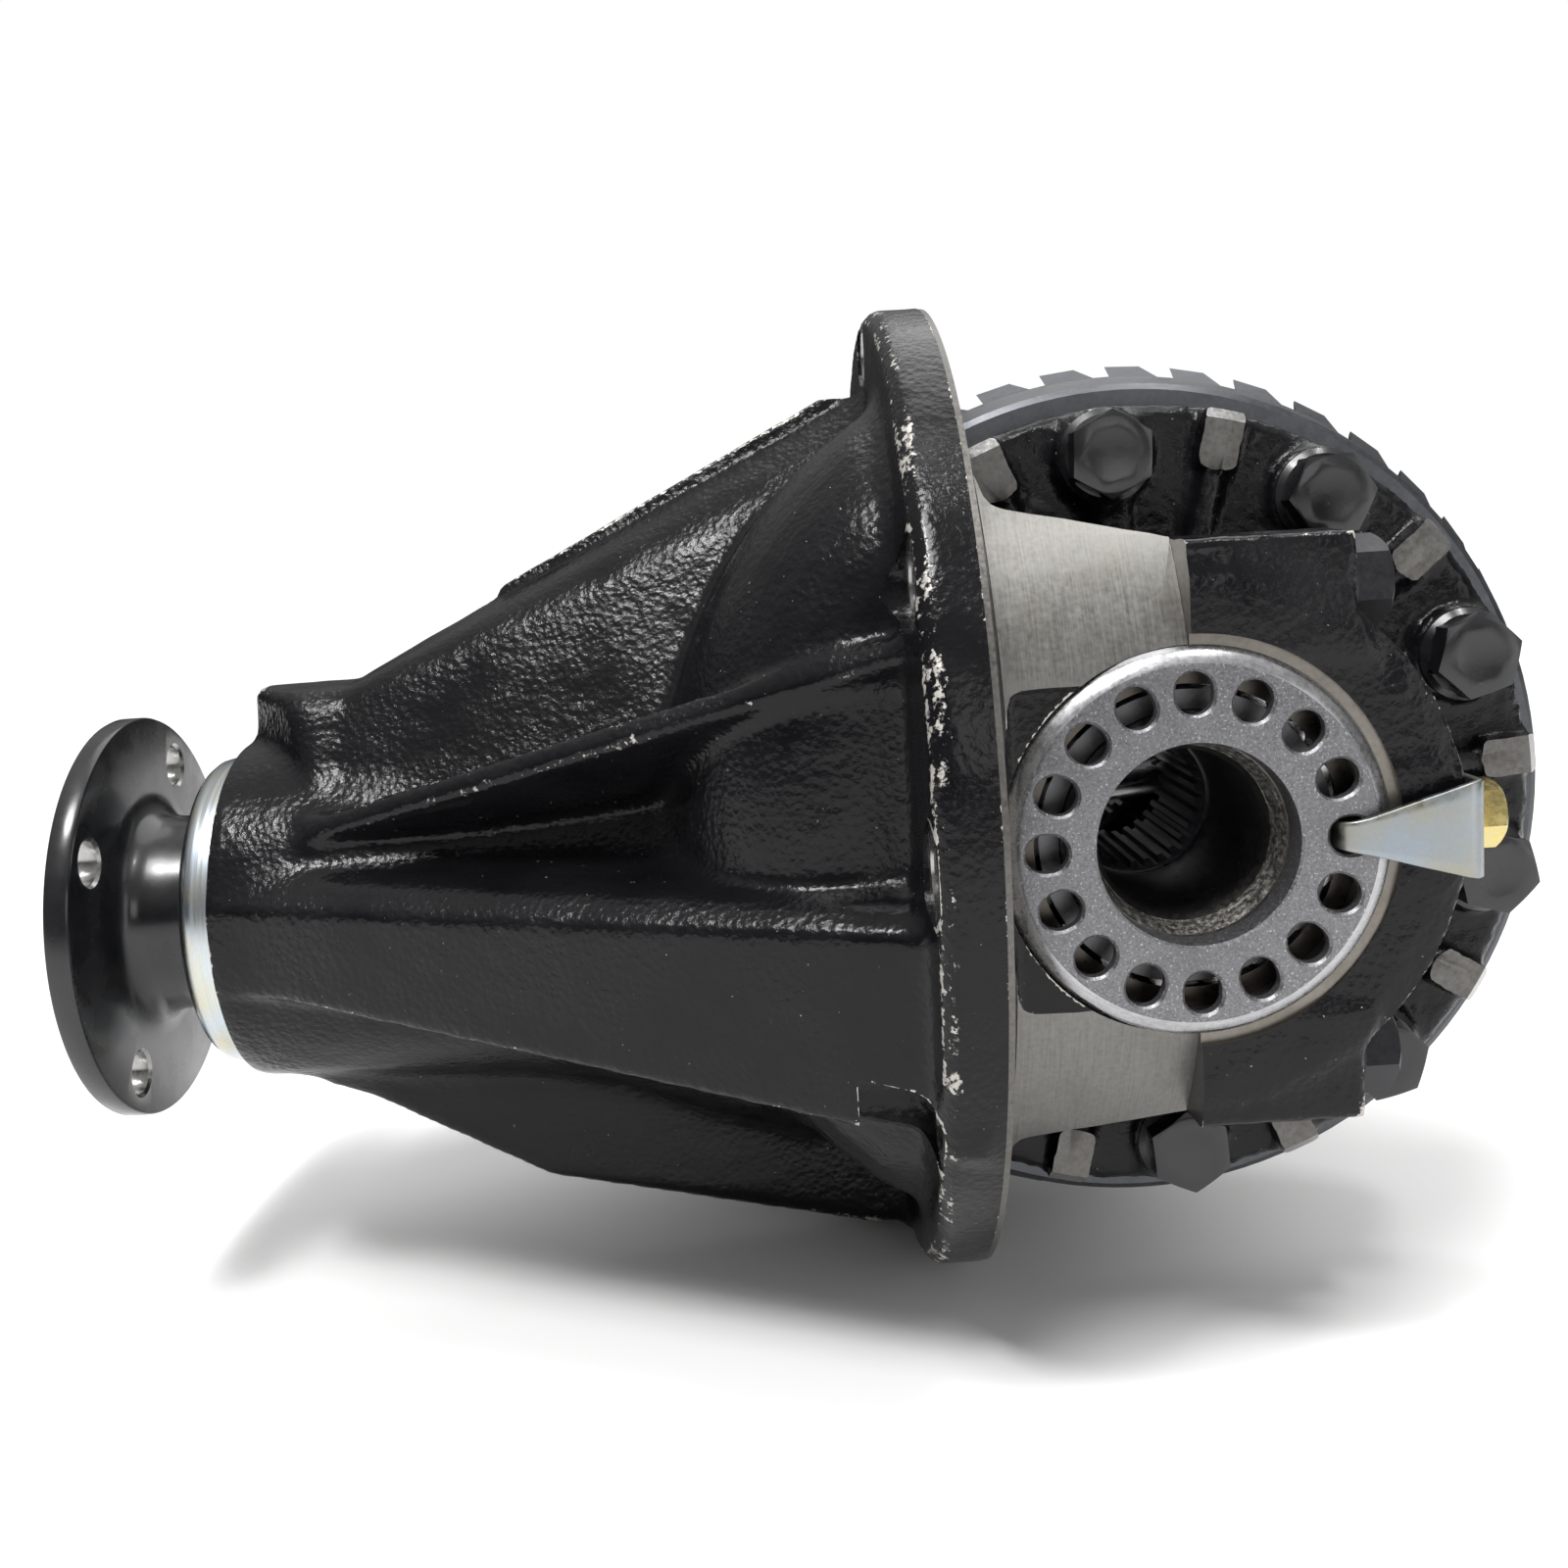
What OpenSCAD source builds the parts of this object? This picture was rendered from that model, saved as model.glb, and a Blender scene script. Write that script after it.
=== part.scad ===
// Drop-out differential carrier: hypoid drive pinion, crown gear, bevel differential and housing.
// Origin: centre of the machined mounting face. +X runs from the input flange towards the crown
// gear, +Y along the axle towards the plain bearing side, +Z up. Millimetres.

/* [Mounting flange] */
// Outer radius of the round mounting flange
flange_r = 121.2; // [115:0.1:130]
// Thickness of the mounting flange at its bolt circle
flange_t = 14; // [10:0.5:18]
// Radius of the circle of mounting holes
flange_pcr = 111; // [105:0.5:116]
// Radius of each mounting hole
flange_hole_r = 5.5; // [4.5:0.1:6.5]
// Radius of the spot face round each mounting hole
spot_r = 10.5; // [8:0.5:12]
// Radius of the turned register on the bearing pedestals
pilot_r = 105.4; // [100:0.1:110]

/* [Axle line] */
// Distance of the axle line behind the mounting face
axle_x = 41; // [30:0.5:60]
// Radius of the threaded bore that takes the adjuster
adjuster_r = 40; // [36:0.5:45]
// Half distance over the two adjuster faces
adjuster_y = 101.6; // [90:0.1:115]
// Radius of the opening in the adjuster
adjuster_bore_r = 20.5; // [15:0.1:28]
// Radius of the circle of adjuster slots
adjuster_slot_pcr = 30.6; // [25:0.1:35]
// Number of slots in the adjuster
adjuster_slots = 16; // [8:1:24]
// Half distance over the cast faces of the pedestals
pedestal_y = 100; // [90:0.5:112]
// Half distance between the inner faces of the pedestals
pedestal_in = 71.5; // [65:0.5:80]
// Outer radius of the bearing cap arch
cap_r = 55; // [48:0.5:65]
// Height of each cap bolt above or below the axle line
cap_bolt_z = 50; // [46:0.5:58]
// Distance of each cap bolt from the middle plane
cap_bolt_y = 83; // [78:0.5:86]
// Length of the cap bolt bosses behind the split plane
cap_boss = 35; // [25:0.5:45]

/* [Input shaft] */
// Height of the pinion line, below the axle line
pinion_z = -22.9; // [-40:0.1:0]
// Position of the front face of the housing nose
nose_x = -180; // [-200:1:-150]
// Position of the rear face of the input flange disc
input_x = -209; // [-230:0.5:-190]
// Thickness of the input flange disc
input_t = 6.1; // [4:0.1:12]
// Radius of the input flange disc
input_r = 52.2; // [45:0.1:65]
// Radius of the circle of input flange bolt holes
input_pcr = 42.4; // [35:0.1:55]
// Radius of the input flange bolt holes
input_hole_r = 5.5; // [4:0.1:7]
// Turn of the input flange about its own line
input_turn = 14.6; // [0:0.1:90]
// Outer radius of the dust deflector
deflector_r = 40; // [30:0.5:50]

/* [Hypoid gears] */
// Number of crown gear teeth
crown_teeth = 41; // [30:1:50]
// Number of pinion teeth
pinion_teeth = 10; // [7:1:15]
// Outer radius of the crown gear
crown_r = 101.6; // [95:0.1:110]
// Mean radius of the crown gear teeth
crown_mean = 85; // [75:0.5:92]
// Inner radius of the crown gear teeth
crown_in = 70; // [65:0.5:78]
// Mean pitch radius of the pinion
pinion_mean = 25; // [20:0.5:30]
// Pitch cone angle of the pinion
pinion_cone = 18; // [12:0.5:25]
// Back face of the crown gear
crown_back = -47; // [-55:0.5:-42]

/* [Differential gears] */
// Number of teeth of each side gear
side_teeth = 16; // [12:2:20]
// Number of teeth of each spider gear
spider_teeth = 10; // [8:2:14]
// Module of the bevel teeth at their outer ends
bevel_module = 4.5; // [3:0.1:6]
// Radius of the cross shaft
cross_r = 9; // [6:0.5:12]
// Direction of the cross shaft at rest, from +X towards +Z
cross_dir = 4.5; // [0:0.5:360]
// Number of crown gear bolts
crown_bolts = 10; // [6:1:12]
// Radius of the circle of crown gear bolts
crown_pcr = 80; // [74:0.5:88]
// Direction of the first crown gear bolt, from +X towards +Z
bolt_dir = 22.5; // [0:0.5:36]
// Head plane of the crown gear bolts
bolt_face = -58; // [-62:0.5:-54]
// Radius of the axle opening through the case
case_bore_r = 17.6; // [14:0.1:21]
// Number of splines in each side gear
splines = 30; // [20:1:36]

/* [Hidden] */
$fn = 96;
gear_ratio = crown_teeth / pinion_teeth;
off = -pinion_z;
mean_d = sqrt(crown_mean * crown_mean - off * off);
side_cone = atan(side_teeth / spider_teeth);
side_pitch_r = side_teeth * bevel_module / 2;
spider_pitch_r = spider_teeth * bevel_module / 2;
bevel_a = sqrt(side_pitch_r * side_pitch_r + spider_pitch_r * spider_pitch_r);
crown_rim = 98.9;
side_back = 31.5;
side_bearing_x = 73.1;
bolt_dirs = [for (i = [0 : crown_bolts - 1]) bolt_dir + i * 360 / crown_bolts];
mount_dirs = [0, 60, 90, 120, 180, 240, 270, 300];

// Bearing data: bore radius, outer radius, width, cup width, cup track radius at the small end,
// cup track slope, cone track slope, number of rollers
side_brg = [22.6, 38.9, 19.8, 15, 31.8, 0.2945, 0.2293, 18];
head_brg = [17.5, 40, 24, 19, 31, 0.2895, 0.2057, 15];
tail_brg = [15, 34, 20, 15.5, 26, 0.2774, 0.1977, 14];

function sum(v) = len(v) == 0 ? 0 : v * [for (i = v) 1];

// ---------------------------------------------------------------- helpers

// Turned body about the X line at height z; points are [radius, x]
module turn_x(points, z = 0) {
    translate([0, 0, z]) rotate([0, 90, 0]) rotate_extrude() polygon(points);
}

// Turned body about the axle line; points are [radius, y]
module turn_y(points) {
    translate([axle_x, 0, 0]) rotate([-90, 0, 0]) rotate_extrude() polygon(points);
}

// Cylinder about the X line at height z
module bar_x(x0, x1, r, z = 0) {
    translate([x0, 0, z]) rotate([0, 90, 0]) cylinder(r = r, h = x1 - x0);
}

// Cylinder about the axle line
module bar_y(y0, y1, r) {
    translate([axle_x, y0, 0]) rotate([-90, 0, 0]) cylinder(r = r, h = y1 - y0);
}

// Moves children from the near side to the side wanted
module on_side(far) {
    if (far) mirror([0, 1, 0]) children();
    else children();
}

// Places children at a direction about the axle line, their X pointing outwards
module about_axle(dir) {
    translate([axle_x, 0, 0]) rotate([0, -dir, 0]) children();
}

// Hexagon of given width over flats, standing along Z
module hex(af, h) {
    cylinder(r = af / sqrt(3), h = h, $fn = 6);
}

// ---------------------------------------------------------------- housing

module near_dome() {
    intersection() {
        turn_y(concat([[0, -88]], [for (t = [90 : -15 : 0]) [68 + 42 * cos(t), -40 - 48 * sin(t)]],
            [[110, -22], [100, -8], [0, -8]]));
        bar_x(-75, -2, 108);
    }
}

module far_dome() {
    intersection() {
        turn_y(concat([[0, -12], [92, -12]], [for (t = [0 : 15 : 90]) [58 + 34 * cos(t), 40 + 48 * sin(t)]],
            [[0, 88]]));
        bar_x(-60, -2, 95);
    }
}

// Hollow neck round the pinion, without its bore
module throat() {
    turn_x([[0, nose_x], [43, nose_x], [44, nose_x + 2], [45, -160], [47, -112], [51, -88],
        [60, -62], [66, -40], [66, -20], [0, -20]], pinion_z);
}

// Roof-shaped body on top of the throat, its flat flanks running down to the side ribs
module top_spine() {
    polyhedron(points = [
        [-150, 0, 36], [-150, -17, 35.4], [-150, -38.8, -10], [-150, 38.8, -10], [-150, 17, 35.4],
        [-8, 0, 107.4], [-8, -17, 92.7], [-8, -66.3, -10], [-8, 66.3, -10], [-8, 17, 92.7]],
        faces = [[0, 1, 2, 3, 4], [9, 8, 7, 6, 5], [6, 1, 0], [5, 6, 0], [7, 2, 1], [6, 7, 1],
            [8, 3, 2], [7, 8, 2], [9, 4, 3], [8, 9, 3], [5, 0, 4], [9, 5, 4]]);
}

// Prow-shaped lug at the front end of the top rib
module nose_lug() {
    intersection() {
        translate([0, 45, 0]) rotate([90, 0, 0]) linear_extrude(height = 90)
            polygon([[-180, -14], [-180, 29], [-178.6, 33], [-175, 35.7], [-170, 36.6], [-146, 36.9],
                [-135, 38], [-135, -14]]);
        translate([-185, 0, 0]) rotate([90, 0, 90]) linear_extrude(height = 60)
            polygon([[-38.6, -12], [-17.2, 32.5], [-15, 35], [-11, 36.4], [0, 37.2], [11, 36.4],
                [15, 35], [17.2, 32.5], [38.6, -12]]);
        translate([0, 0, -20]) linear_extrude(height = 70)
            polygon([[-180, -1.5], [-166.8, -17], [-160, -30], [-157, -42], [-130, -42],
                [-130, 42], [-157, 42], [-160, 30], [-166.8, 17], [-180, 1.5]]);
    }
}

// Keel rib under the throat
module bottom_spine() {
    translate([0, 13, 0]) rotate([90, 0, 0]) linear_extrude(height = 26)
        polygon([[-168, -60], [-163, -68.5], [-109, -98.5], [-24, -118], [-8, -118], [-8, -40],
            [-168, -40]]);
}

// Slim rib from the nose to the flange, half way up the near side
module side_rib() {
    translate([0, 0, pinion_z]) rotate([55, 0, 0]) translate([0, 3, 0]) rotate([90, 0, 0])
        linear_extrude(height = 6)
        polygon([[-159, 40], [-157, 46], [-13, 116.5], [-8, 116.5], [-8, 45], [-100, 30]]);
}

// Box-shaped shoulder along the near side
module side_shoulder() {
    polyhedron(points = [
        [-178, -44, -13], [-10, -109, -14.5], [-10, -80, -67], [-178, -42, -33],
        [-178, -20, -6], [-10, -40, -4], [-10, -40, -67], [-178, -20, -33],
        [-178, -40.5, -7.4], [-10, -102, -9]],
        faces = [[0, 1, 2], [0, 2, 3], [5, 4, 7], [5, 7, 6], [4, 5, 9], [4, 9, 8], [8, 9, 1],
            [8, 1, 0], [3, 2, 6], [3, 6, 7], [9, 5, 6], [9, 6, 2], [9, 2, 1], [4, 8, 0], [4, 0, 3],
            [4, 3, 7]]);
}

// One bearing pedestal, turned on its outside where it stands in the axle housing
module pedestal() {
    intersection() {
        translate([0, -pedestal_in, 0]) rotate([90, 0, 0])
            linear_extrude(height = pedestal_y - pedestal_in)
            polygon([[-10, -67], [3, -67], [axle_x, -61], [axle_x, 61], [3, 70], [-10, 70]]);
        bar_x(-10, axle_x, pilot_r);
    }
}

module housing_mass() {
    turn_x([[0, -flange_t], [flange_r - 3.5, -flange_t], [flange_r - 1, -flange_t + 1],
        [flange_r, -flange_t + 3.5], [flange_r, -0.6], [flange_r - 0.6, 0], [0, 0]]);
    near_dome();
    far_dome();
    throat();
    top_spine();
    nose_lug();
    bottom_spine();
    for (far = [false, true]) on_side(far) {
        side_rib();
        side_shoulder();
        pedestal();
    }
}

// Room for the crown gear and the case
module gear_room() {
    turn_y([[0, -pedestal_in], [95, -pedestal_in], [96, -64], [101, -60], [104.6, -54],
        [104.6, -14], [88, -8], [88, 38], [64, pedestal_in], [0, pedestal_in]]);
}

module pinion_bores() {
    turn_x([[0, nose_x - 1], [29.05, nose_x - 1], [29.05, -171], [27, -170.5], [27, -170],
        [34.04, -170], [34.04, -147], [29, -147], [29, -141], [36, -136], [36, -96], [34.5, -92],
        [34.5, -86.6], [40.04, -86.6], [40.04, -62], [43, -59], [43, 30], [0, 30]], pinion_z);
}

module carrier_housing() {
    color([0.06, 0.06, 0.065]) difference() {
        housing_mass();
        gear_room();
        pinion_bores();
        bar_y(-pedestal_y - 1, -pedestal_in + 1, adjuster_r + 0.05);
        bar_y(pedestal_in - 1, pedestal_y + 1, adjuster_r + 0.05);
        // mounting holes and their spot faces
        for (a = mount_dirs) rotate([a, 0, 0]) translate([0, 0, flange_pcr]) {
            bar_x(-20, 1, flange_hole_r);
            bar_x(-flange_t - 16, -flange_t + 0.6, spot_r);
        }
        // cap bolt holes
        for (s = [-1, 1], z = [-1, 1]) translate([0, s * cap_bolt_y, z * cap_bolt_z])
            bar_x(8, axle_x + 1, 6.03);
    }
}

// ---------------------------------------------------------------- bearing caps and adjusters

module cap_near() {
    difference() {
        union() {
            intersection() {
                turn_y([[adjuster_r - 2, -98], [50, -98.8], [cap_r - 2, -98], [cap_r, -96],
                    [cap_r, -75], [cap_r - 1.5, -73.5], [adjuster_r - 2, -73.5]]);
                translate([axle_x + 0.05, -120, -80]) cube([80, 60, 160]);
            }
            for (s = [-1, 1]) {
                translate([axle_x + 0.05, -cap_bolt_y, s * cap_bolt_z]) rotate([0, 90, 0])
                    cylinder(r = 11, h = cap_boss);
                translate([axle_x + 0.05, -97.8, s > 0 ? 38 : -61])
                    cube([cap_boss - 2, 23.6, 23]);
            }
            translate([88, -97.5, -12]) cube([8, 22, 24]);
        }
        bar_y(-110, -60, adjuster_r + 0.05);
        bar_y(-110, -98.2, adjuster_r + 1.8);
        for (s = [-1, 1]) translate([axle_x - 1, -cap_bolt_y, s * cap_bolt_z]) rotate([0, 90, 0])
            union() {
                cylinder(r = 6.3, h = cap_boss + 4);
                translate([0, 0, cap_boss + 1]) cylinder(r = 11.4, h = 14);
            }
        translate([84, -87, 0]) rotate([0, 90, 0]) cylinder(r = 4.03, h = 20);
    }
}

module bearing_cap(far) color([0.07, 0.07, 0.075]) on_side(far) cap_near();

module cap_bolts(far) color([0.16, 0.16, 0.17]) on_side(far) for (s = [-1, 1])
    translate([0, -cap_bolt_y, s * cap_bolt_z]) {
        bar_x(14, axle_x + cap_boss + 1, 6);
        bar_x(axle_x + cap_boss + 0.1, axle_x + cap_boss + 1.6, 10.4);
        translate([axle_x + cap_boss + 1.5, 0, 0]) rotate([0, 90, 0]) rotate([0, 0, 15])
            difference() {
                hex(17, 8);
                translate([0, 0, 7]) cylinder(r = 6, h = 2);
            }
    }

module adjuster(far) color([0.55, 0.55, 0.56]) on_side(far) difference() {
    turn_y([[adjuster_bore_r, -adjuster_y + 0.8], [adjuster_bore_r + 0.8, -adjuster_y],
        [36.4, -adjuster_y], [adjuster_r - 1.1, -adjuster_y + 1.6], [adjuster_r - 0.1, -99],
        [adjuster_r - 0.1, -93.1], [35.9, -93.1], [35.9, -98.2], [24.2, -98.2], [23.6, -94.8],
        [adjuster_bore_r, -94.8]]);
    for (i = [0 : adjuster_slots - 1]) about_axle(i * 360 / adjuster_slots)
        for (d = [-0.5, 0, 0.5]) translate([adjuster_slot_pcr + d, -110, 0])
            rotate([-90, 0, 0]) cylinder(r = 3.9, h = 30);
}

module lock_plate(far) color([0.75, 0.77, 0.78]) on_side(far) difference() {
    union() {
        // tongue over the adjuster face
        translate([0, -102.2, 0]) rotate([90, 0, 0]) linear_extrude(height = 2)
            polygon([[69, -2.7], [74.5, -3.6], [98.1, -10], [98.1, 10], [74.5, 3.6], [69, 2.7]]);
        // end bent into the slot
        translate([69, -104.2, -2.7]) cube([2, 7.5, 5.4]);
        // leg down the end of the cap
        translate([96.1, -104.2, -10]) cube([2, 27, 20]);
    }
    translate([92, -87, 0]) rotate([0, 90, 0]) cylinder(r = 4.4, h = 10);
}

module lock_bolt(far) color([0.72, 0.6, 0.25]) on_side(far)
    translate([0, -87, 0]) {
        bar_x(87, 100.9, 4);
        translate([100.4, 0, 0]) rotate([0, 90, 0]) difference() {
            hex(13, 7);
            translate([0, 0, 6.5]) cylinder(r = 4.2, h = 2);
        }
    }

module lock_washer(far) color([0.6, 0.6, 0.58]) on_side(far) translate([0, -87, 0])
    difference() {
        bar_x(98.15, 100.35, 7);
        bar_x(97, 102, 4.2);
        translate([97, 0, 3]) rotate([8, 0, 0]) cube([5, 0.8, 6]);
    }

// ---------------------------------------------------------------- tapered roller bearings
// All stand along Z with the large end of the cone at Z = 0.

function brg_apex(b) = b[2] + b[4] / b[5];
function cup_track(b, z) = b[5] * (brg_apex(b) - z);
function cone_track(b, z) = b[6] * (brg_apex(b) - z);

module brg_cup(b) rotate_extrude()
    polygon([[b[1], b[2] - 1], [b[1], b[2] - b[3] + 0.6], [b[1] - 0.6, b[2] - b[3]],
        [cup_track(b, b[2] - b[3]), b[2] - b[3]], [cup_track(b, b[2]), b[2]], [b[1] - 1, b[2]]]);

module brg_cone(b) rotate_extrude()
    polygon([[b[0], 0.8], [b[0] + 0.8, 0], [cone_track(b, 3) + 1.6, 0],
        [cone_track(b, 3) + 1.6, 2.6], [cone_track(b, 3), 3], [cone_track(b, b[2] - 2.6), b[2] - 2.6],
        [cone_track(b, b[2] - 2.6) + 1.2, b[2] - 2.4], [cone_track(b, b[2] - 2.6) + 0.9, b[2]],
        [b[0] + 0.8, b[2]], [b[0], b[2] - 0.8]]);

module brg_roller(b, grow) {
    ao = atan(b[5]);
    ai = atan(b[6]);
    mid = (ao + ai) / 2;
    half = (ao - ai) / 2;
    far_l = (brg_apex(b) - 4.4) / cos(mid) + grow;
    near_l = (brg_apex(b) - b[2] + 4) / cos(mid) - grow;
    translate([0, 0, brg_apex(b)]) rotate([0, 180 - mid, 0]) translate([0, 0, near_l])
        cylinder(r1 = near_l * tan(half) - 0.05 + grow, r2 = far_l * tan(half) - 0.05 + grow,
            h = far_l - near_l, $fn = 24);
}

module brg_rollers(b) for (i = [0 : b[7] - 1]) rotate([0, 0, i * 360 / b[7]]) brg_roller(b, 0);

module brg_cage(b) {
    mid = tan((atan(b[5]) + atan(b[6])) / 2);
    r0 = mid * (brg_apex(b) - 1.6) + 1.1;
    r1 = mid * (brg_apex(b) - b[2] + 1.4) + 1.1;
    difference() {
        rotate_extrude() polygon([[r0, 1.6], [r0 + 0.9, 1.6], [r1 + 0.9, b[2] - 1.4],
            [r1 + 0.9, b[2] - 0.5], [r1 - 3.2, b[2] - 0.5], [r1 - 3.2, b[2] - 1.4],
            [r1, b[2] - 1.4]]);
        for (i = [0 : b[7] - 1]) rotate([0, 0, i * 360 / b[7]]) brg_roller(b, 0.25);
    }
}

// Near side bearing: large end faces the crown gear
module at_side(far) on_side(far) translate([axle_x, -side_bearing_x, 0]) rotate([90, 0, 0])
    children();
module at_head() translate([-60.6, 0, pinion_z]) rotate([0, -90, 0]) children();
module at_tail() translate([-167.2, 0, pinion_z]) rotate([0, 90, 0]) children();

module side_cup(far) color([0.5, 0.47, 0.43]) at_side(far) brg_cup(side_brg);
module side_cone(far) color([0.45, 0.45, 0.46]) at_side(far) brg_cone(side_brg);
module side_rollers(far) color([0.62, 0.62, 0.63]) at_side(far) brg_rollers(side_brg);
module side_cage(far) color([0.3, 0.3, 0.31]) at_side(far) brg_cage(side_brg);
module pinion_cup_head() color([0.5, 0.5, 0.5]) at_head() brg_cup(head_brg);
module pinion_cone_head() color([0.45, 0.45, 0.46]) at_head() brg_cone(head_brg);
module pinion_rollers_head() color([0.62, 0.62, 0.63]) at_head() brg_rollers(head_brg);
module pinion_cage_head() color([0.3, 0.3, 0.31]) at_head() brg_cage(head_brg);
module pinion_cup_tail() color([0.5, 0.5, 0.5]) at_tail() brg_cup(tail_brg);
module pinion_cone_tail() color([0.45, 0.45, 0.46]) at_tail() brg_cone(tail_brg);
module pinion_rollers_tail() color([0.62, 0.62, 0.63]) at_tail() brg_rollers(tail_brg);
module pinion_cage_tail() color([0.3, 0.3, 0.31]) at_tail() brg_cage(tail_brg);

// ---------------------------------------------------------------- pinion group

// Hypoid geometry: d is the distance from the axle line measured along X
function pin_r(d) = pinion_mean + (d - mean_d) * tan(pinion_cone);
function tooth_slope(d) = (gear_ratio * pin_r(d) - d) / off;
function tooth_size(d) = sqrt(d * d + off * off) / crown_mean;
// Twist of a pinion tooth between the mean point and d, in degrees
function pin_twist(d) = let(n = 12, s = (d - mean_d) / n)
    -sum([for (i = [0 : n - 1]) let(q = mean_d + (i + 0.5) * s) tooth_slope(q) / pin_r(q) * s])
    * 180 / PI;

// One outline of the pinion teeth in the plane at distance d
function pinion_ring(d) = let(
        r = pin_r(d), s = tooth_size(d), tip = r + 4.8 * s, root = r - 3.2 * s,
        hp = 8.7, ht = hp * 0.26 * r / tip, hr = hp * 1.22 * r / root, tw = pin_twist(d))
    [for (k = [0 : pinion_teeth - 1]) let(c = (k + 0.5) * 360 / pinion_teeth + tw - 1.3)
        each [for (q = [[-hr, root], [-hp, r], [-hp * 0.66, r + 2.4 * s], [-ht, tip], [ht, tip],
                [hp * 0.66, r + 2.4 * s], [hp, r], [hr, root]])
            [axle_x - d, -q[1] * cos(c + q[0]), pinion_z + q[1] * sin(c + q[0])]]];

// Solid through a stack of closed outlines, each end closed round its own middle
module stack(rings) {
    m = len(rings[0]);
    n = len(rings);
    mid = [for (r = [rings[0], rings[n - 1]]) [for (c = [0 : 2]) sum([for (p = r) p[c]]) / m]];
    polyhedron(points = concat([for (r = rings) each r], mid),
        faces = [for (i = [0 : m - 1]) let(k = (i + 1) % m, e = (n - 1) * m)
            each concat([[i, k, n * m], [e + k, e + i, n * m + 1]],
                [for (j = [0 : n - 2]) each [[j * m + i, j * m + k + m, j * m + k],
                    [j * m + i, j * m + i + m, j * m + k + m]]])]);
}

module drive_pinion() {
    color([0.3, 0.3, 0.32]) {
        union() {
            stack([for (i = [0 : 10]) pinion_ring(67 + 30 * i / 10)]);
            // shaft: bearing seats, spacer land, spline land and thread
            turn_x([[0, -60.5], [24, -60.5], [26, -59], [26, -54], [0, -54]], pinion_z);
            turn_x([[0, -219], [9, -219], [10, -218], [10, -199.5], [12.4, -198.9], [12.4, -166],
                [14.96, -165.5], [14.96, -146], [16.5, -144], [16.5, -88], [17.46, -86],
                [17.46, -60], [0, -60]], pinion_z);
            turn_x([[0, -30], [13, -30], [13, -23], [12, -22], [0, -22]], pinion_z);
        }
    }
}

module crush_spacer() color([0.5, 0.5, 0.5]) turn_x([[17.6, -85], [20, -85], [20, -104],
    [24, -112], [24, -120], [20, -128], [20, -146.9], [17.6, -146.9], [17.6, -129], [22, -120.6],
    [22, -111.4], [17.6, -103]], pinion_z);

module oil_slinger() color([0.5, 0.5, 0.5]) turn_x([[12.6, -168.6], [24, -168.6], [26, -170.2],
    [26.4, -169.6], [24.4, -167.5], [12.6, -167.5]], pinion_z);

module pinion_shim() color([0.6, 0.6, 0.62]) turn_x([[33, -85.5], [39.9, -85.5], [39.9, -84.8],
    [33, -84.8]], pinion_z);

module pinion_seal() color([0.12, 0.12, 0.13]) turn_x([[29, -172], [29, -181.2], [23.8, -181.2],
    [22.6, -180], [24, -178.4], [22.2, -176.6], [24, -175.4], [27.2, -175.4], [27.2, -172]], pinion_z);

module input_flange() color([0.04, 0.04, 0.045]) difference() {
    turn_x([[10.05, -199.5], [20.6, -199.5], [20.6, input_x - input_t + 3.2],
        [24, input_x - input_t + 3.2], [24, input_x - input_t], [input_r - 0.7, input_x - input_t],
        [input_r, input_x - input_t + 0.7], [input_r, input_x - 0.7], [input_r - 0.7, input_x],
        [31, input_x], [27.2, input_x + 2], [25.4, input_x + 6], [25, -191], [22, -190.6],
        [22, -168.8], [12.5, -168.8], [12.5, -199.5]], pinion_z);
    for (i = [0 : 3]) translate([0, 0, pinion_z]) rotate([input_turn + 45 + i * 90, 0, 0])
        translate([0, 0, input_pcr]) bar_x(-230, -200, input_hole_r);
}

module dust_deflector() color([0.72, 0.75, 0.76]) turn_x([[22.05, -189.6], [25.5, -190.4],
    [deflector_r - 3.5, -189.6], [deflector_r - 1, -188.6], [deflector_r, -186.4],
    [deflector_r, -180.6], [deflector_r - 1.2, -180.6], [deflector_r - 1.2, -185.8],
    [deflector_r - 4, -188.2], [26, -188.9], [24, -188], [22.05, -184]], pinion_z);

module pinion_washer() color([0.55, 0.55, 0.56]) turn_x([[10.1, -202], [19, -202], [19, -199.6],
    [12.6, -199.6], [10.1, -199.6]], pinion_z);

module pinion_nut() color([0.35, 0.35, 0.36]) translate([0, 0, pinion_z]) difference() {
    union() {
        translate([-213.6, 0, 0]) rotate([0, 90, 0]) hex(27, 8.6);
        bar_x(-205.2, -202.1, 17);
    }
    bar_x(-220, -200, 10.04);
}

// ---------------------------------------------------------------- crown gear and case

// Direction of a crown tooth at radius r, measured from its place at the mean radius
function crown_turn(r) = let(n = 12, s = (r - crown_mean) / n)
    sum([for (i = [0 : n - 1]) let(q = crown_mean + (i + 0.5) * s, d = sqrt(q * q - off * off),
        m = tooth_slope(d)) (m * d - off) / (q * (d + off * m)) * s]) * 180 / PI;
function crown_pitch_y(r) = -pin_r(sqrt(r * r - off * off));

// One crown tooth outline at radius r, its foot at the given depth under the pitch line: root,
// pitch, tip, tip, pitch, root
function crown_tooth_ring(r, dir, foot = 7.2) = let(
        y = crown_pitch_y(r), s = r / crown_mean, h = 1.7, c = dir + crown_turn(r), w = h * (1 + foot / 7.2))
    [for (q = [[-w, -foot * s], [-h, 0], [-h * 0.68, 2.0 * s], [h * 0.68, 2.0 * s], [h, 0],
            [w, -foot * s]])
        [axle_x + r * cos(c + q[0]), y + q[1], r * sin(c + q[0])]];

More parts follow.
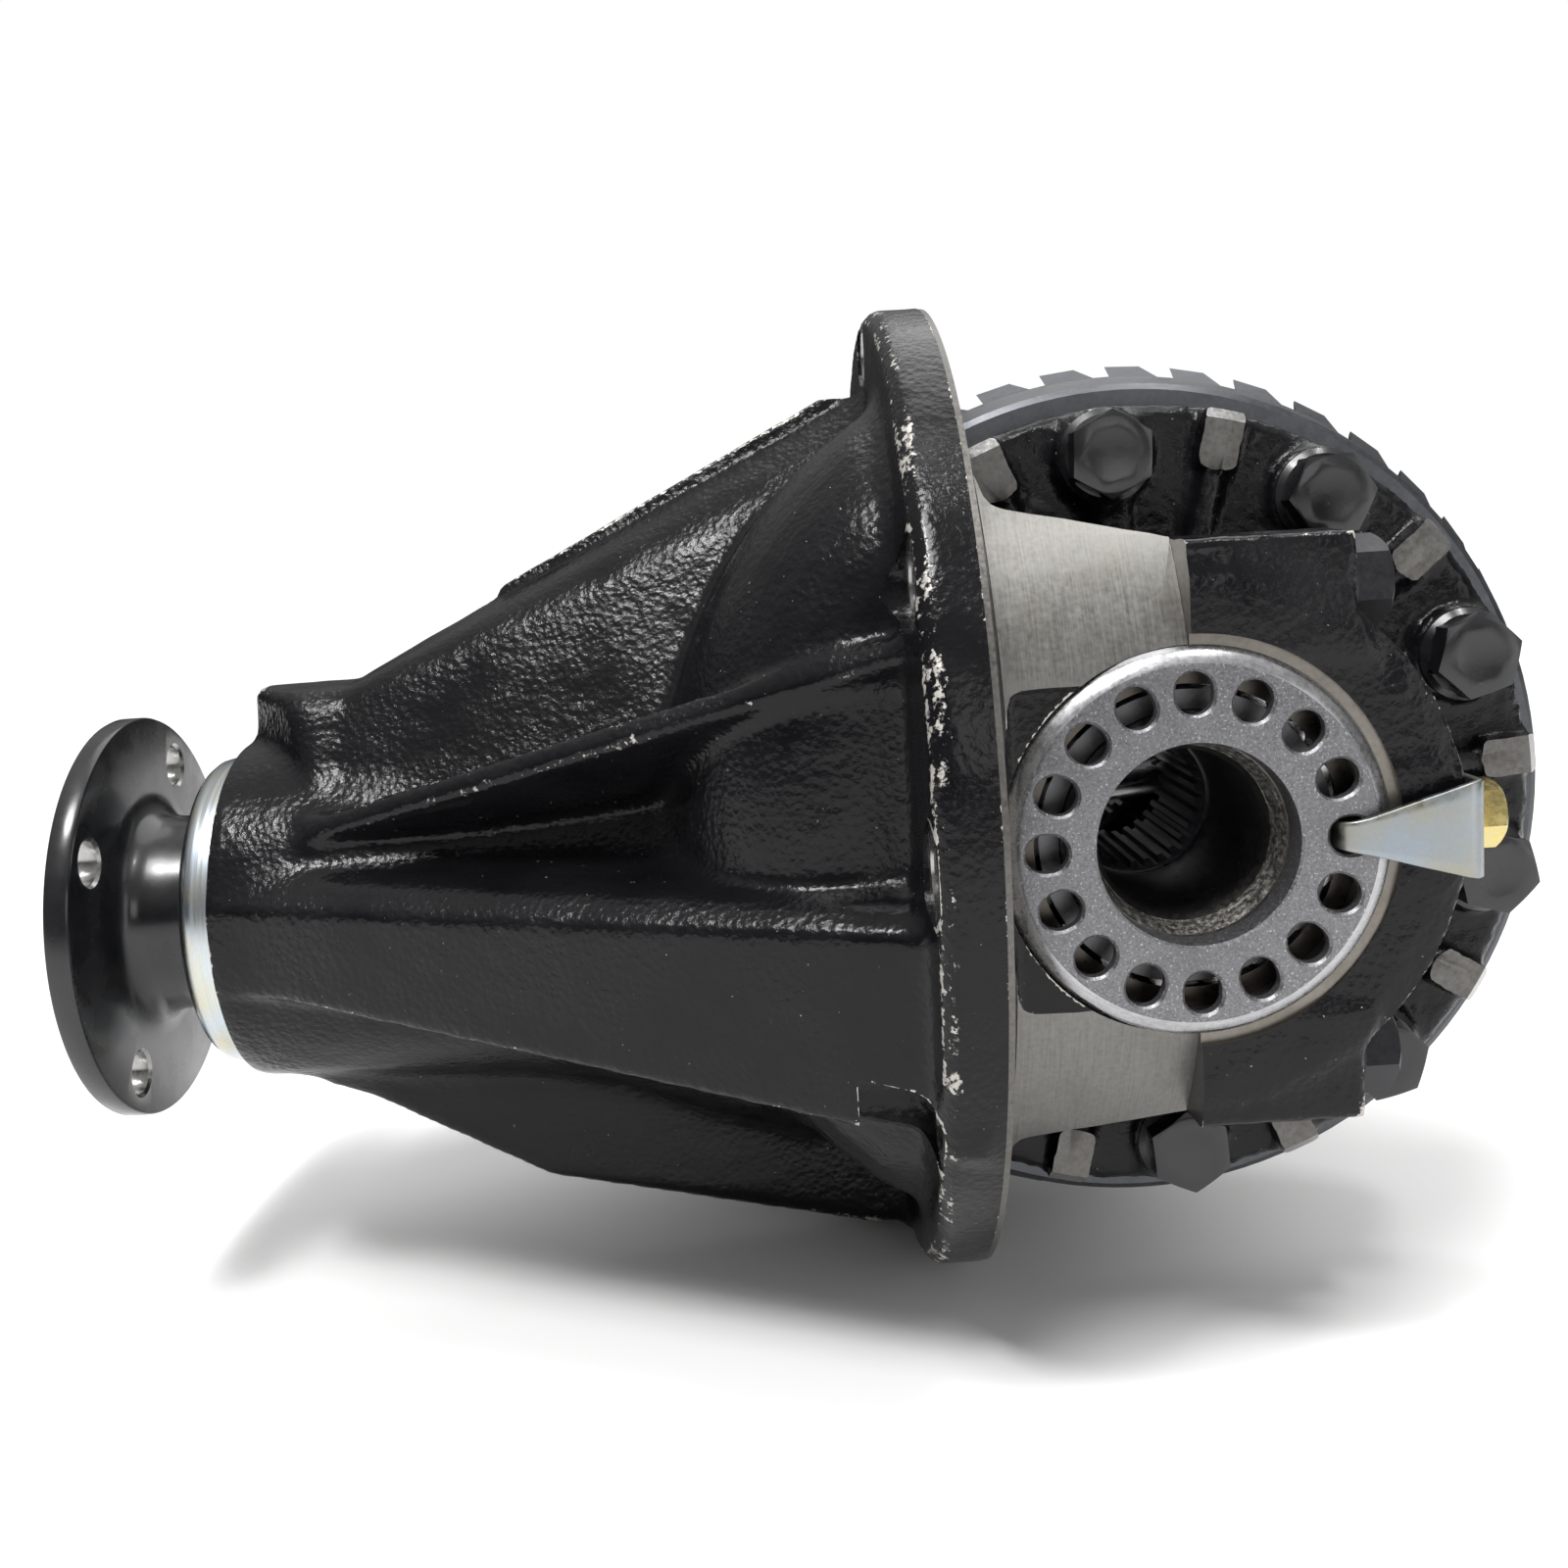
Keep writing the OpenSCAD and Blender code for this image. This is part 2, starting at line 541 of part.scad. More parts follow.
module crown_gear() {
    first = 180 + atan2(off, mean_d);
    color([0.34, 0.35, 0.37]) union() {
        difference() {
            turn_y([[66, crown_back + 1], [67, crown_back], [95, crown_back], [96.4, crown_back + 0.9],
                [crown_rim, crown_pitch_y(crown_rim) - 7.4], [crown_rim, crown_pitch_y(crown_rim) - 6.4],
                [crown_in, crown_pitch_y(crown_in) - 6 * crown_in / crown_mean],
                [67, crown_pitch_y(crown_in) - 8], [66, crown_pitch_y(crown_in) - 9]]);
            for (a = bolt_dirs) about_axle(a) translate([crown_pcr, crown_back - 1, 0])
                rotate([-90, 0, 0]) cylinder(r = 5.53, h = 13);
        }
        for (k = [0 : crown_teeth - 1])
            stack([for (i = [0 : 7]) crown_tooth_ring(i > 6 ? crown_r - 0.05
                : crown_in + 0.3 + (crown_rim - 0.6 - crown_in) * i / 6,
                first + k * 360 / crown_teeth, i > 6 ? 2.6 : 7.2)]);
    }
}

module crown_gear_bolts() color([0.07, 0.07, 0.075]) for (a = bolt_dirs)
    about_axle(a) translate([crown_pcr, bolt_face, 0]) rotate([-90, 0, 0]) {
        translate([0, 0, -0.1]) cylinder(r = 5.5, h = 22);
        translate([0, 0, -2.2]) cylinder(r1 = 9.4, r2 = 10.6, h = 2.1);
        translate([0, 0, -8.6]) rotate([0, 0, 30]) difference() {
            hex(16.5, 6.6);
            translate([0, 0, -1]) cylinder(r = 5.2, h = 1.8);
        }
    }

// Outside of the case, as a turned shape
module case_mass() {
    turn_y([[0, -93.8], [21.6, -93.8], [22.55, -92.8], [22.55, -side_bearing_x], [29, -side_bearing_x + 0.1],
        [31, -70], [36, -64], [50, -56], [60, -54], [89, -54.4], [91, -53],
        [91, crown_back - 0.05], [65.95, crown_back - 0.05], [65.95, -34], [58, -30], [58, 40],
        [52, 52], [34, 62], [30, 70], [29, side_bearing_x - 0.1], [22.55, side_bearing_x],
        [22.55, 92.8], [21.6, 93.8], [0, 93.8]]);
    for (a = bolt_dirs) {
        // bolt boss and spoke
        about_axle(a) translate([crown_pcr, bolt_face + 0.1, 0]) rotate([-90, 0, 0])
            cylinder(r = 10.9, h = 8);
        about_axle(a) translate([48, bolt_face + 1.6, -5]) cube([30, 8, 10]);
        // machined pad between the bolts
        about_axle(a + 180 / crown_bolts) translate([0, 0, -4]) linear_extrude(height = 8)
            polygon([[78.6, -52], [78.6, bolt_face - 1.5], [88.4, bolt_face - 1.5],
                [90.9, bolt_face + 1], [90.9, -52]]);
    }
}

module diff_case() color([0.09, 0.09, 0.095]) difference() {
    case_mass();
    for (a = bolt_dirs) about_axle(a) translate([crown_pcr, -70, 0]) rotate([-90, 0, 0])
        cylinder(r = 5.7, h = 30);
    // axle openings and side gear hub bores
    bar_y(-100, 100, case_bore_r);
    for (far = [false, true]) on_side(far)
        turn_y([[0, -95], [20.8, -95], [18.6, -88.4], [17.2, -86.4], [0, -86.4]]);
    bar_y(-49, 49, 21.06);
    bar_y(-32.8, 32.8, 43.6);
    // spider gear pockets and cross shaft bore
    about_axle(cross_dir) {
        for (s = [0, 180]) rotate([0, s, 0]) rotate([0, 90, 0]) cylinder(r = 29, h = 46.1);
        rotate([0, 90, 0]) translate([0, 0, -60]) cylinder(r = cross_r + 0.02, h = 120);
    }
    // assembly windows
    about_axle(cross_dir + 90) translate([0, 0, 0]) rotate([0, 90, 0]) translate([0, 4, -70])
        cylinder(r = 22, h = 140);
    // lock pin hole
    about_axle(cross_dir) translate([52, -45, 0]) rotate([-90, 0, 0]) cylinder(r = 2.55, h = 110);
}

module cross_shaft() color([0.5, 0.5, 0.5]) about_axle(cross_dir) difference() {
    rotate([0, 90, 0]) translate([0, 0, -57.4]) cylinder(r = cross_r, h = 114.8);
    translate([52, -20, 0]) rotate([-90, 0, 0]) cylinder(r = 2.55, h = 40);
}

module cross_shaft_pin() color([0.45, 0.45, 0.46]) about_axle(cross_dir)
    translate([52, -24, 0]) rotate([-90, 0, 0]) cylinder(r = 2.5, h = 50);

// ---------------------------------------------------------------- bevel differential
// Bevel gears stand with their apex at the origin and their axis along +Z.

// Tooth outline at unit distance from the apex: h is height over the pitch cone at the outer end,
// t the half thickness there
function bevel_point(cone, h, t, a) = let(w = atan(h / bevel_a), r = bevel_a * sin(cone) + h * cos(cone),
    da = t / r * 180 / PI) [tan(cone + w) * cos(a + da), tan(cone + w) * sin(a + da)];

function bevel_outline(n, cone, rows, phase) = [for (k = [0 : n - 1])
    each [for (q = rows) bevel_point(cone, q[0], q[1], phase + k * 360 / n)]];

side_rows = [[-5.2, -4.2], [-1.5, -3.55], [0, -3.05], [3, -1.75], [3, 1.75], [0, 3.05], [-1.5, 3.55],
    [-5.2, 4.2]];
spider_rows = [[-4, -3.5], [0, -3.05], [2, -2.2], [4, -0.95], [4, 0.95], [2, 2.2], [0, 3.05],
    [-4, 3.5]];

// Frustum over an outline, between two distances from the apex
module bevel_blank(outline, z0, z1) stack([for (z = [z0, z1]) [for (p = outline) [p[0] * z, p[1] * z, z]]]);

// Band between two back cones, at fractions q0 and q1 of the outer cone distance
module back_band(cone, q0, q1) rotate_extrude() polygon([for (p = [[q0, -9], [q1, -9], [q1, 9], [q0, 9]])
    [p[0] * bevel_a * sin(cone) - p[1] * cos(cone), p[0] * bevel_a * cos(cone) + p[1] * sin(cone)]]);

module side_gear(far) color([0.3, 0.31, 0.33])
    translate([axle_x, 0, 0]) rotate([far ? -90 : 90, 0, 0]) difference() {
        union() {
            intersection() {
                bevel_blank(bevel_outline(side_teeth, side_cone, side_rows, far ? -cross_dir : cross_dir),
                    8, 32);
                back_band(side_cone, 0.65, 1);
            }
            // body under the teeth and hub
            rotate_extrude() polygon([[13, 12.2], [18.6, 12.2], [19.8, 14], [21, 17.8], [32.6, 27],
                [34.4, 28.6], [34.4, side_back], [21, side_back], [21, 47], [20, 48], [13, 48]]);
        }
        translate([0, 0, 5]) linear_extrude(height = 60) polygon([for (i = [0 : splines - 1])
            each [for (q = [[-0.3, 15.2], [-0.16, 16.8], [0.16, 16.8], [0.3, 15.2]])
                let(a = (i + q[0]) * 360 / splines) [q[1] * cos(a), q[1] * sin(a)]]]);
        translate([0, 0, 46]) cylinder(r1 = 15.2, r2 = 17.4, h = 2.2);
    }

module spider_gear(other) color([0.32, 0.33, 0.35])
    about_axle(cross_dir + (other ? 180 : 0)) rotate([0, 90, 0]) difference() {
        union() {
            intersection() {
                bevel_blank(bevel_outline(spider_teeth, 90 - side_cone, spider_rows,
                    90 + 180 / spider_teeth), 16, 44);
                back_band(90 - side_cone, 0.65, 1);
            }
            rotate_extrude() polygon([[7, 20.5], [11.4, 20.5], [12, 24], [18.6, 38], [22.6, 40.5],
                [23.4, 45], [7, 45]]);
        }
        translate([0, 0, 10]) cylinder(r = cross_r + 0.05, h = 50);
    }

module side_washers() color([0.6, 0.5, 0.35]) for (far = [false, true]) on_side(far)
    turn_y([[21.2, -32.7], [34, -32.7], [34, -31.6], [21.2, -31.6]]);

module spider_washers() color([0.6, 0.5, 0.35]) for (s = [0, 180]) about_axle(cross_dir + s)
    rotate([0, 90, 0]) translate([0, 0, 45.05]) difference() {
        cylinder(r = 24, h = 0.95);
        translate([0, 0, -1]) cylinder(r = cross_r + 0.2, h = 3);
    }

// ---------------------------------------------------------------- node selection

carrier_housing();
bearing_cap(false);  // bearing_cap_near
bearing_cap(true);  // bearing_cap_far
cap_bolts(false);  // cap_bolts_near
cap_bolts(true);  // cap_bolts_far
adjuster(false);  // adjuster_near
adjuster(true);  // adjuster_far
lock_plate(false);  // lock_plate_near
lock_plate(true);  // lock_plate_far
lock_bolt(false);  // lock_bolt_near
lock_bolt(true);  // lock_bolt_far
lock_washer(false);  // lock_washer_near
lock_washer(true);  // lock_washer_far
side_cup(false);  // side_cup_near
side_cup(true);  // side_cup_far
pinion_cup_head();
pinion_cup_tail();
pinion_shim();
pinion_seal();
drive_pinion();
pinion_cone_head();
pinion_rollers_head();
pinion_cage_head();
pinion_cone_tail();
pinion_rollers_tail();
pinion_cage_tail();
crush_spacer();
oil_slinger();
input_flange();
dust_deflector();
pinion_washer();
pinion_nut();
diff_case();
crown_gear();
crown_gear_bolts();
side_cone(false);  // side_cone_near
side_rollers(false);  // side_rollers_near
side_cage(false);  // side_cage_near
side_cone(true);  // side_cone_far
side_rollers(true);  // side_rollers_far
side_cage(true);  // side_cage_far
cross_shaft();
cross_shaft_pin();
side_washers();
spider_washers();
side_gear(false);  // side_gear_near
side_gear(true);  // side_gear_far
spider_gear(false);  // spider_gear_a
spider_gear(true);  // spider_gear_b
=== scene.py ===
import math

import bmesh
import bpy
import numpy as np
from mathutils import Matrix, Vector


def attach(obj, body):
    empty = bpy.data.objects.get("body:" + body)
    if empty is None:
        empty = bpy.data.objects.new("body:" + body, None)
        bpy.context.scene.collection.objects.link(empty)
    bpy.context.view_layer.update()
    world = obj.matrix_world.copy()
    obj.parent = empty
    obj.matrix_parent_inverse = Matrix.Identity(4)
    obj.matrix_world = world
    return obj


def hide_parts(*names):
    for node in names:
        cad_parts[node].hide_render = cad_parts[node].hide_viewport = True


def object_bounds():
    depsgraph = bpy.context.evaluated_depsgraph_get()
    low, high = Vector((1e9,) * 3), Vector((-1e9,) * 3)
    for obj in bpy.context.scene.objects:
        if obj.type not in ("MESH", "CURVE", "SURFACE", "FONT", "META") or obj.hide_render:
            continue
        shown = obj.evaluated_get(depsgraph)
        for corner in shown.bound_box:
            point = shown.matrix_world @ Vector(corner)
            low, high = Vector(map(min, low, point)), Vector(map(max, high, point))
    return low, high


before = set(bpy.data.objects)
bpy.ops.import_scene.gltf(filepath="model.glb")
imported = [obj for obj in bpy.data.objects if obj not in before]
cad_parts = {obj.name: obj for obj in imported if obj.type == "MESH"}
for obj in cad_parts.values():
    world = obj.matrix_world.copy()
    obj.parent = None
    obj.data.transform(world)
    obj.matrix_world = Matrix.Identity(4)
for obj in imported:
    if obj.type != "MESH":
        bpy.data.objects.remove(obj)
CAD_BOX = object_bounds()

import openvdb
from mathutils import Matrix, Vector, noise

# Sizes below are in millimetres, in the frame of the CAD model. MM turns them into metres.
MM = 0.001
AXLE_X = 41.0
PINION_Z = -22.9
FLANGE_R, FLANGE_T, FLANGE_PCR = 121.2, 14.0, 111.0
PILOT_R = 105.4
ADJUSTER_R, ADJUSTER_Y = 40.0, 101.6
PEDESTAL_Y, PEDESTAL_IN = 100.0, 71.5
NOSE_X = -180.0
CAP_BOLT_Y, CAP_BOLT_Z, CAP_BOSS = 83.0, 50.0, 35.0
BOLT_PCR, BOLT_FACE, BOLT_DIRS = 80.0, -58.0, [22.5 + 36 * i for i in range(10)]
MOUNT_DIRS = [0, 60, 90, 120, 180, 240, 270, 300]
CROSS_DIR = 4.5
CASE_BORE_R, HUB_BORE_R, GEAR_BAY_R = 17.6, 21.06, 43.6


# ------------------------------------------------------------------ materials

class Nodes:
    """Short names for the shader nodes that the materials use."""

    def __init__(self, name, base, metallic=0.0, rough=0.4, coat=0.0, coat_rough=0.08, specular=0.5):
        self.mat = bpy.data.materials.new(name)
        self.mat.use_nodes = True
        self.tree = self.mat.node_tree
        self.bsdf = self.tree.nodes["Principled BSDF"]
        self.bsdf.inputs["Base Color"].default_value = (*base, 1)
        self.bsdf.inputs["Metallic"].default_value = metallic
        self.bsdf.inputs["Roughness"].default_value = rough
        self.bsdf.inputs["Coat Weight"].default_value = coat
        self.bsdf.inputs["Coat Roughness"].default_value = coat_rough
        self.bsdf.inputs["Specular IOR Level"].default_value = specular
        self.place = self.add("ShaderNodeTexCoord").outputs["Object"]

    def add(self, kind, **props):
        node = self.tree.nodes.new(kind)
        for key, value in props.items():
            setattr(node, key, value)
        return node

    def link(self, out, to):
        self.tree.links.new(out, to)

    def stretched(self, x, y, z):
        """Object coordinates scaled by axis, for brushed and turned marks."""
        node = self.add("ShaderNodeMapping")
        self.link(self.place, node.inputs["Vector"])
        node.inputs["Scale"].default_value = (x, y, z)
        return node.outputs["Vector"]

    def noise(self, scale, detail=3.0, rough=0.5, at=None, distortion=0.0):
        node = self.add("ShaderNodeTexNoise")
        self.link(at or self.place, node.inputs["Vector"])
        node.inputs["Scale"].default_value = scale
        node.inputs["Detail"].default_value = detail
        node.inputs["Roughness"].default_value = rough
        node.inputs["Distortion"].default_value = distortion
        return node.outputs["Fac"]

    def cells(self, scale, smooth=0.6):
        node = self.add("ShaderNodeTexVoronoi", feature="SMOOTH_F1")
        self.link(self.place, node.inputs["Vector"])
        node.inputs["Scale"].default_value = scale
        node.inputs["Smoothness"].default_value = smooth
        return node.outputs["Distance"]

    def ramp(self, fac, lo, hi, a=0.0, b=1.0):
        """A value that goes from a to b as fac goes from lo to hi."""
        node = self.add("ShaderNodeMapRange")
        node.clamp = True
        self.link(fac, node.inputs["Value"])
        for key, value in (("From Min", lo), ("From Max", hi), ("To Min", a), ("To Max", b)):
            node.inputs[key].default_value = value
        return node.outputs["Result"]

    def math(self, op, a, b):
        node = self.add("ShaderNodeMath", operation=op)
        for socket, value in zip(node.inputs, (a, b)):
            if isinstance(value, (int, float)):
                socket.default_value = value
            else:
                self.link(value, socket)
        return node.outputs["Value"]

    def mix(self, fac, a, b):
        node = self.add("ShaderNodeMix", data_type="RGBA")
        self.link(fac, node.inputs["Factor"])
        for socket, value in ((node.inputs[6], a), (node.inputs[7], b)):
            if isinstance(value, tuple):
                socket.default_value = (*value, 1)
            else:
                self.link(value, socket)
        return node.outputs[2]

    def attribute(self, name):
        return self.add("ShaderNodeAttribute", attribute_name=name).outputs["Fac"]

    def bump(self, height, strength, depth_mm, under=None):
        node = self.add("ShaderNodeBump")
        node.inputs["Strength"].default_value = strength
        node.inputs["Distance"].default_value = depth_mm * MM
        self.link(height, node.inputs["Height"])
        if under is not None:
            self.link(under, node.inputs["Normal"])
        return node.outputs["Normal"]

    def color(self, out):
        self.link(out, self.bsdf.inputs["Base Color"])

    def rough(self, out):
        self.link(out, self.bsdf.inputs["Roughness"])

    def metallic(self, out):
        self.link(out, self.bsdf.inputs["Metallic"])

    def normal(self, out):
        self.link(out, self.bsdf.inputs["Normal"])
        self.link(out, self.bsdf.inputs["Coat Normal"])


def cast_paint(name, lumps=1.0, chips=1.0, tint=(0.0035, 0.0035, 0.0043), lump_scale=560.0):
    """Gloss black paint over sand-cast iron, chipped along the edges that the wear attribute marks."""
    n = Nodes(name, tint, rough=0.25, specular=0.22)
    fine = n.noise(1500, 2.0, 0.6)
    lump = n.cells(lump_scale)
    broad = n.noise(190, 3.0, 0.6)
    swell = n.noise(45, 3.0)
    height = n.math("ADD", n.math("MULTIPLY", lump, 0.8), n.math("MULTIPLY", fine, 0.45))
    height = n.math("MULTIPLY", height, n.ramp(swell, 0.3, 0.7, 0.25, 1.1))
    height = n.math("ADD", height, n.math("MULTIPLY", broad, 0.3))
    # chips: bare iron where the edge is worn and the noise is high
    wear = n.attribute("wear")
    grit = n.noise(800, 4.0, 0.7)
    patch = n.noise(75, 4.0, 0.65)
    worn = n.math("ADD", n.math("MULTIPLY", wear, 0.52 * chips),
                  n.math("ADD", n.math("MULTIPLY", grit, 0.55), n.math("MULTIPLY", patch, 0.55)))
    chip = n.ramp(worn, 0.90, 0.93)
    speck = n.ramp(n.noise(900, 2.0, 0.5), 0.755, 0.765)
    mark = n.math("MAXIMUM", chip, n.math("MULTIPLY", speck, 0.5))
    dust = n.ramp(n.math("ADD", swell, n.math("MULTIPLY", grit, 0.25)), 0.45, 0.95)
    paint = n.mix(dust, tint, tuple(c * 1.5 + 0.002 for c in tint))
    bare = n.mix(grit, (0.28, 0.26, 0.23), (0.66, 0.64, 0.60))
    n.color(n.mix(mark, paint, bare))
    n.metallic(n.math("MULTIPLY", chip, 0.5))
    n.rough(n.math("MAXIMUM", n.ramp(swell, 0.3, 0.7, 0.15, 0.27), n.math("MULTIPLY", mark, 0.5)))
    sunk = n.math("SUBTRACT", height, n.math("MULTIPLY", mark, 0.7))
    n.normal(n.bump(sunk, 0.6 * lumps, 0.32))
    return n.mat


def turned(name, base, scale, rough=0.3, tint_by=0.25, coarse=900.0, metallic=0.95, depth=0.03, stain=0.3):
    """Machined metal: scale gives how fast the tool marks change along each axis."""
    n = Nodes(name, base, metallic=metallic, rough=rough)
    marks = n.noise(1.0, 4.0, 0.65, at=n.stretched(*scale))
    patch = n.noise(70, 4.0, 0.6)
    grain = n.noise(coarse, 2.0, 0.5)
    dark = tuple(c * (1 - tint_by) for c in base)
    light = tuple(min(1, c * (1 + tint_by)) for c in base)
    tone = n.math("ADD", n.math("MULTIPLY", marks, 0.6), n.math("MULTIPLY", grain, 0.4))
    steel = n.mix(n.ramp(tone, 0.3, 0.7), dark, light)
    brown = tuple(c * k for c, k in zip(base, (0.55, 0.48, 0.40)))
    n.color(n.mix(n.ramp(patch, 0.52, 0.8, 0.0, stain), steel, brown))
    n.rough(n.ramp(tone, 0.25, 0.75, rough - 0.08, rough + 0.14))
    n.normal(n.bump(marks, 0.5, depth))
    return n.mat


def blasted(name, base, rough=0.42, grain=1700.0, depth=0.09, metallic=0.85):
    """Blasted or sintered metal: an even fine grain with small bright points."""
    n = Nodes(name, base, metallic=metallic, rough=rough)
    fine = n.noise(grain, 2.0, 0.6)
    broad = n.noise(55, 3.0)
    point = n.ramp(n.noise(grain * 1.1, 1.0), 0.62, 0.72)
    tone = n.mix(n.ramp(fine, 0.3, 0.7), tuple(c * 0.68 for c in base), tuple(min(1, c * 1.25) for c in base))
    tone = n.mix(n.math("MULTIPLY", point, 0.35), tone, (0.9, 0.9, 0.9))
    n.color(n.mix(n.ramp(broad, 0.5, 0.8, 0.0, 0.35), tone, tuple(c * 0.6 for c in base)))
    n.rough(n.ramp(fine, 0.3, 0.7, rough - 0.1, rough + 0.12))
    n.normal(n.bump(fine, 0.8, depth))
    return n.mat


def plated(name, base, rough=0.22, streak=(900, 900, 900), depth=0.012, bands=0.3):
    """Zinc plate: bright, with faint streaks, clouds and a slight passivation tint."""
    n = Nodes(name, base, metallic=1.0, rough=rough)
    lines = n.noise(1.0, 3.0, 0.6, at=n.stretched(*streak))
    cloud = n.noise(110, 3.0)
    warm = tuple(min(1, c * k) for c, k in zip(base, (0.86, 0.80, 0.62)))
    cool = tuple(min(1, c * k) for c, k in zip(base, (0.78, 0.86, 0.95)))
    tone = n.mix(n.ramp(cloud, 0.35, 0.7), cool, warm)
    n.color(n.mix(n.ramp(lines, 0.35, 0.65, 1 - bands, 1.0), tuple(c * 0.55 for c in base), tone))
    n.rough(n.ramp(lines, 0.3, 0.7, rough - 0.08, rough + 0.12))
    n.normal(n.bump(lines, 0.4, depth))
    return n.mat


def coated(name, base, rough=0.35, grain=900.0, depth=0.03, coat=0.0, metallic=0.0):
    """Thin black oxide or smooth black paint with faint clouds and scuffs."""
    n = Nodes(name, base, metallic=metallic, rough=rough, coat=coat, coat_rough=0.12)
    fine = n.noise(grain, 3.0, 0.6)
    cloud = n.noise(80, 4.0, 0.6)
    scuff = n.ramp(n.noise(1.0, 5.0, 0.7, at=n.stretched(260, 900, 500)), 0.68, 0.74, 0.0, 0.35)
    tone = n.mix(n.ramp(cloud, 0.3, 0.75), base, tuple(c * 1.8 + 0.006 for c in base))
    n.color(n.mix(scuff, tone, (0.16, 0.16, 0.17)))
    n.rough(n.ramp(cloud, 0.3, 0.7, rough - 0.07, rough + 0.1))
    n.normal(n.bump(fine, 0.5, depth))
    return n.mat


M_CAST = cast_paint("cast_gloss_black", lumps=1.6, chips=1.17, lump_scale=620.0)
M_CASE = cast_paint("case_gloss_black", lumps=2.2, chips=0.5, lump_scale=430.0)
M_MILLED = turned("milled_iron", (0.125, 0.12, 0.113), (900, 900, 900), rough=0.36, stain=0.45)
M_TURNED_X = turned("turned_iron_x", (0.17, 0.166, 0.155), (2600, 90, 90), rough=0.36, stain=0.35)
M_TURNED_Y = turned("turned_iron_y", (0.20, 0.185, 0.165), (90, 2400, 90), rough=0.36, stain=0.6)
M_SPOT = turned("spot_face", (0.38, 0.375, 0.365), (500, 500, 500), rough=0.2, stain=0.1)
M_GEAR = turned("crown_gear_steel", (0.085, 0.088, 0.095), (160, 1500, 160), rough=0.36, stain=0.2,
                metallic=0.9)
M_GEAR_OIL = turned("oiled_gear_steel", (0.13, 0.13, 0.14), (300, 900, 300), rough=0.3, stain=0.35)
M_SINTER = blasted("sintered_adjuster", (0.17, 0.17, 0.178))
M_SINTER_RIM = turned("turned_adjuster_rim", (0.40, 0.40, 0.41), (200, 2600, 200), rough=0.25, stain=0.1)
M_BEARING = turned("bearing_steel", (0.56, 0.55, 0.54), (200, 1800, 200), rough=0.17, stain=0.25)
M_CUP = turned("bearing_cup_steel", (0.10, 0.088, 0.076), (200, 1800, 200), rough=0.3, stain=0.6)
M_CAGE = turned("pressed_cage_steel", (0.13, 0.13, 0.135), (400, 400, 400), rough=0.34)
M_ZINC = plated("zinc_deflector", (0.66, 0.68, 0.69), rough=0.26, streak=(900, 25, 25), bands=0.35)
M_ZINC_PLATE = plated("zinc_plate", (0.36, 0.37, 0.375), rough=0.32, streak=(500, 90, 500), bands=0.3)
M_YELLOW = plated("yellow_zinc", (0.78, 0.62, 0.26), rough=0.24, streak=(300, 300, 300), bands=0.3)
M_BOLT = coated("black_bolt", (0.005, 0.005, 0.006), rough=0.24, coat=0.15)
M_CAP_BOLT = turned("dark_cap_bolt", (0.035, 0.035, 0.038), (500, 500, 500), rough=0.4, stain=0.2)
M_INPUT = coated("input_flange_black", (0.004, 0.004, 0.005), rough=0.24, coat=0.15, depth=0.008)
M_RUBBER = coated("seal_rubber", (0.012, 0.012, 0.012), rough=0.6, depth=0.02)
M_BRONZE = turned("bronze_washer", (0.55, 0.36, 0.17), (400, 400, 400), rough=0.3)
M_JOURNAL = turned("journal_end", (0.27, 0.25, 0.23), (420, 420, 420), rough=0.42, coarse=500,
                   depth=0.12, stain=0.5)


def rough_cast(name):
    """Bare cast skin with hammer marks, as in the ends of the case journals."""
    n = Nodes(name, (0.2, 0.19, 0.17), metallic=0.8, rough=0.4)
    lump = n.cells(420)
    grit = n.noise(900, 4.0, 0.7)
    n.color(n.mix(n.ramp(grit, 0.42, 0.68), (0.10, 0.095, 0.085), (0.52, 0.50, 0.46)))
    n.rough(n.ramp(grit, 0.3, 0.7, 0.28, 0.55))
    n.normal(n.bump(n.math("ADD", lump, grit), 0.9, 0.4))
    return n.mat


M_ROUGH = rough_cast("cast_journal_end")


# ------------------------------------------------------------------ mesh helpers

def mesh_object(name, verts, faces):
    me = bpy.data.meshes.new(name)
    me.from_pydata([tuple(c * MM for c in v) for v in verts], [], [tuple(f) for f in faces])
    ob = bpy.data.objects.new(name, me)
    bpy.context.scene.collection.objects.link(ob)
    bm = bmesh.new()
    bm.from_mesh(me)
    bmesh.ops.remove_doubles(bm, verts=bm.verts, dist=1e-7)
    bmesh.ops.recalc_face_normals(bm, faces=bm.faces)
    bm.to_mesh(me)
    bm.free()
    return ob


def lathe(name, points, axis, centre, sides=96):
    """A turned solid: points are (radius, distance along the axis) round a closed outline."""
    verts, rings = [], []
    for r, a in points:
        ring = []
        for k in range(1 if r == 0 else sides):
            t = 2 * math.pi * k / sides
            u, v = r * math.cos(t), r * math.sin(t)
            ring.append(len(verts))
            spot = {"x": (a, u, v), "y": (u, a, v), "z": (u, v, a)}[axis]
            verts.append([s + c for s, c in zip(spot, centre)])
        rings.append(ring)
    faces = []
    for i, ring in enumerate(rings):
        other = rings[(i + 1) % len(rings)]
        if len(ring) == 1 and len(other) == 1:
            continue
        for k in range(sides):
            quad = [ring[k % len(ring)], ring[(k + 1) % len(ring)], other[(k + 1) % len(other)],
                    other[k % len(other)]]
            face = [v for j, v in enumerate(quad) if v not in quad[:j]]
            faces.append(face)
    return mesh_object(name, verts, faces)


def rod(name, axis, lo, hi, r, centre, sides=64):
    return lathe(name, [(0, lo), (r, lo), (r, hi), (0, hi)], axis, centre, sides)


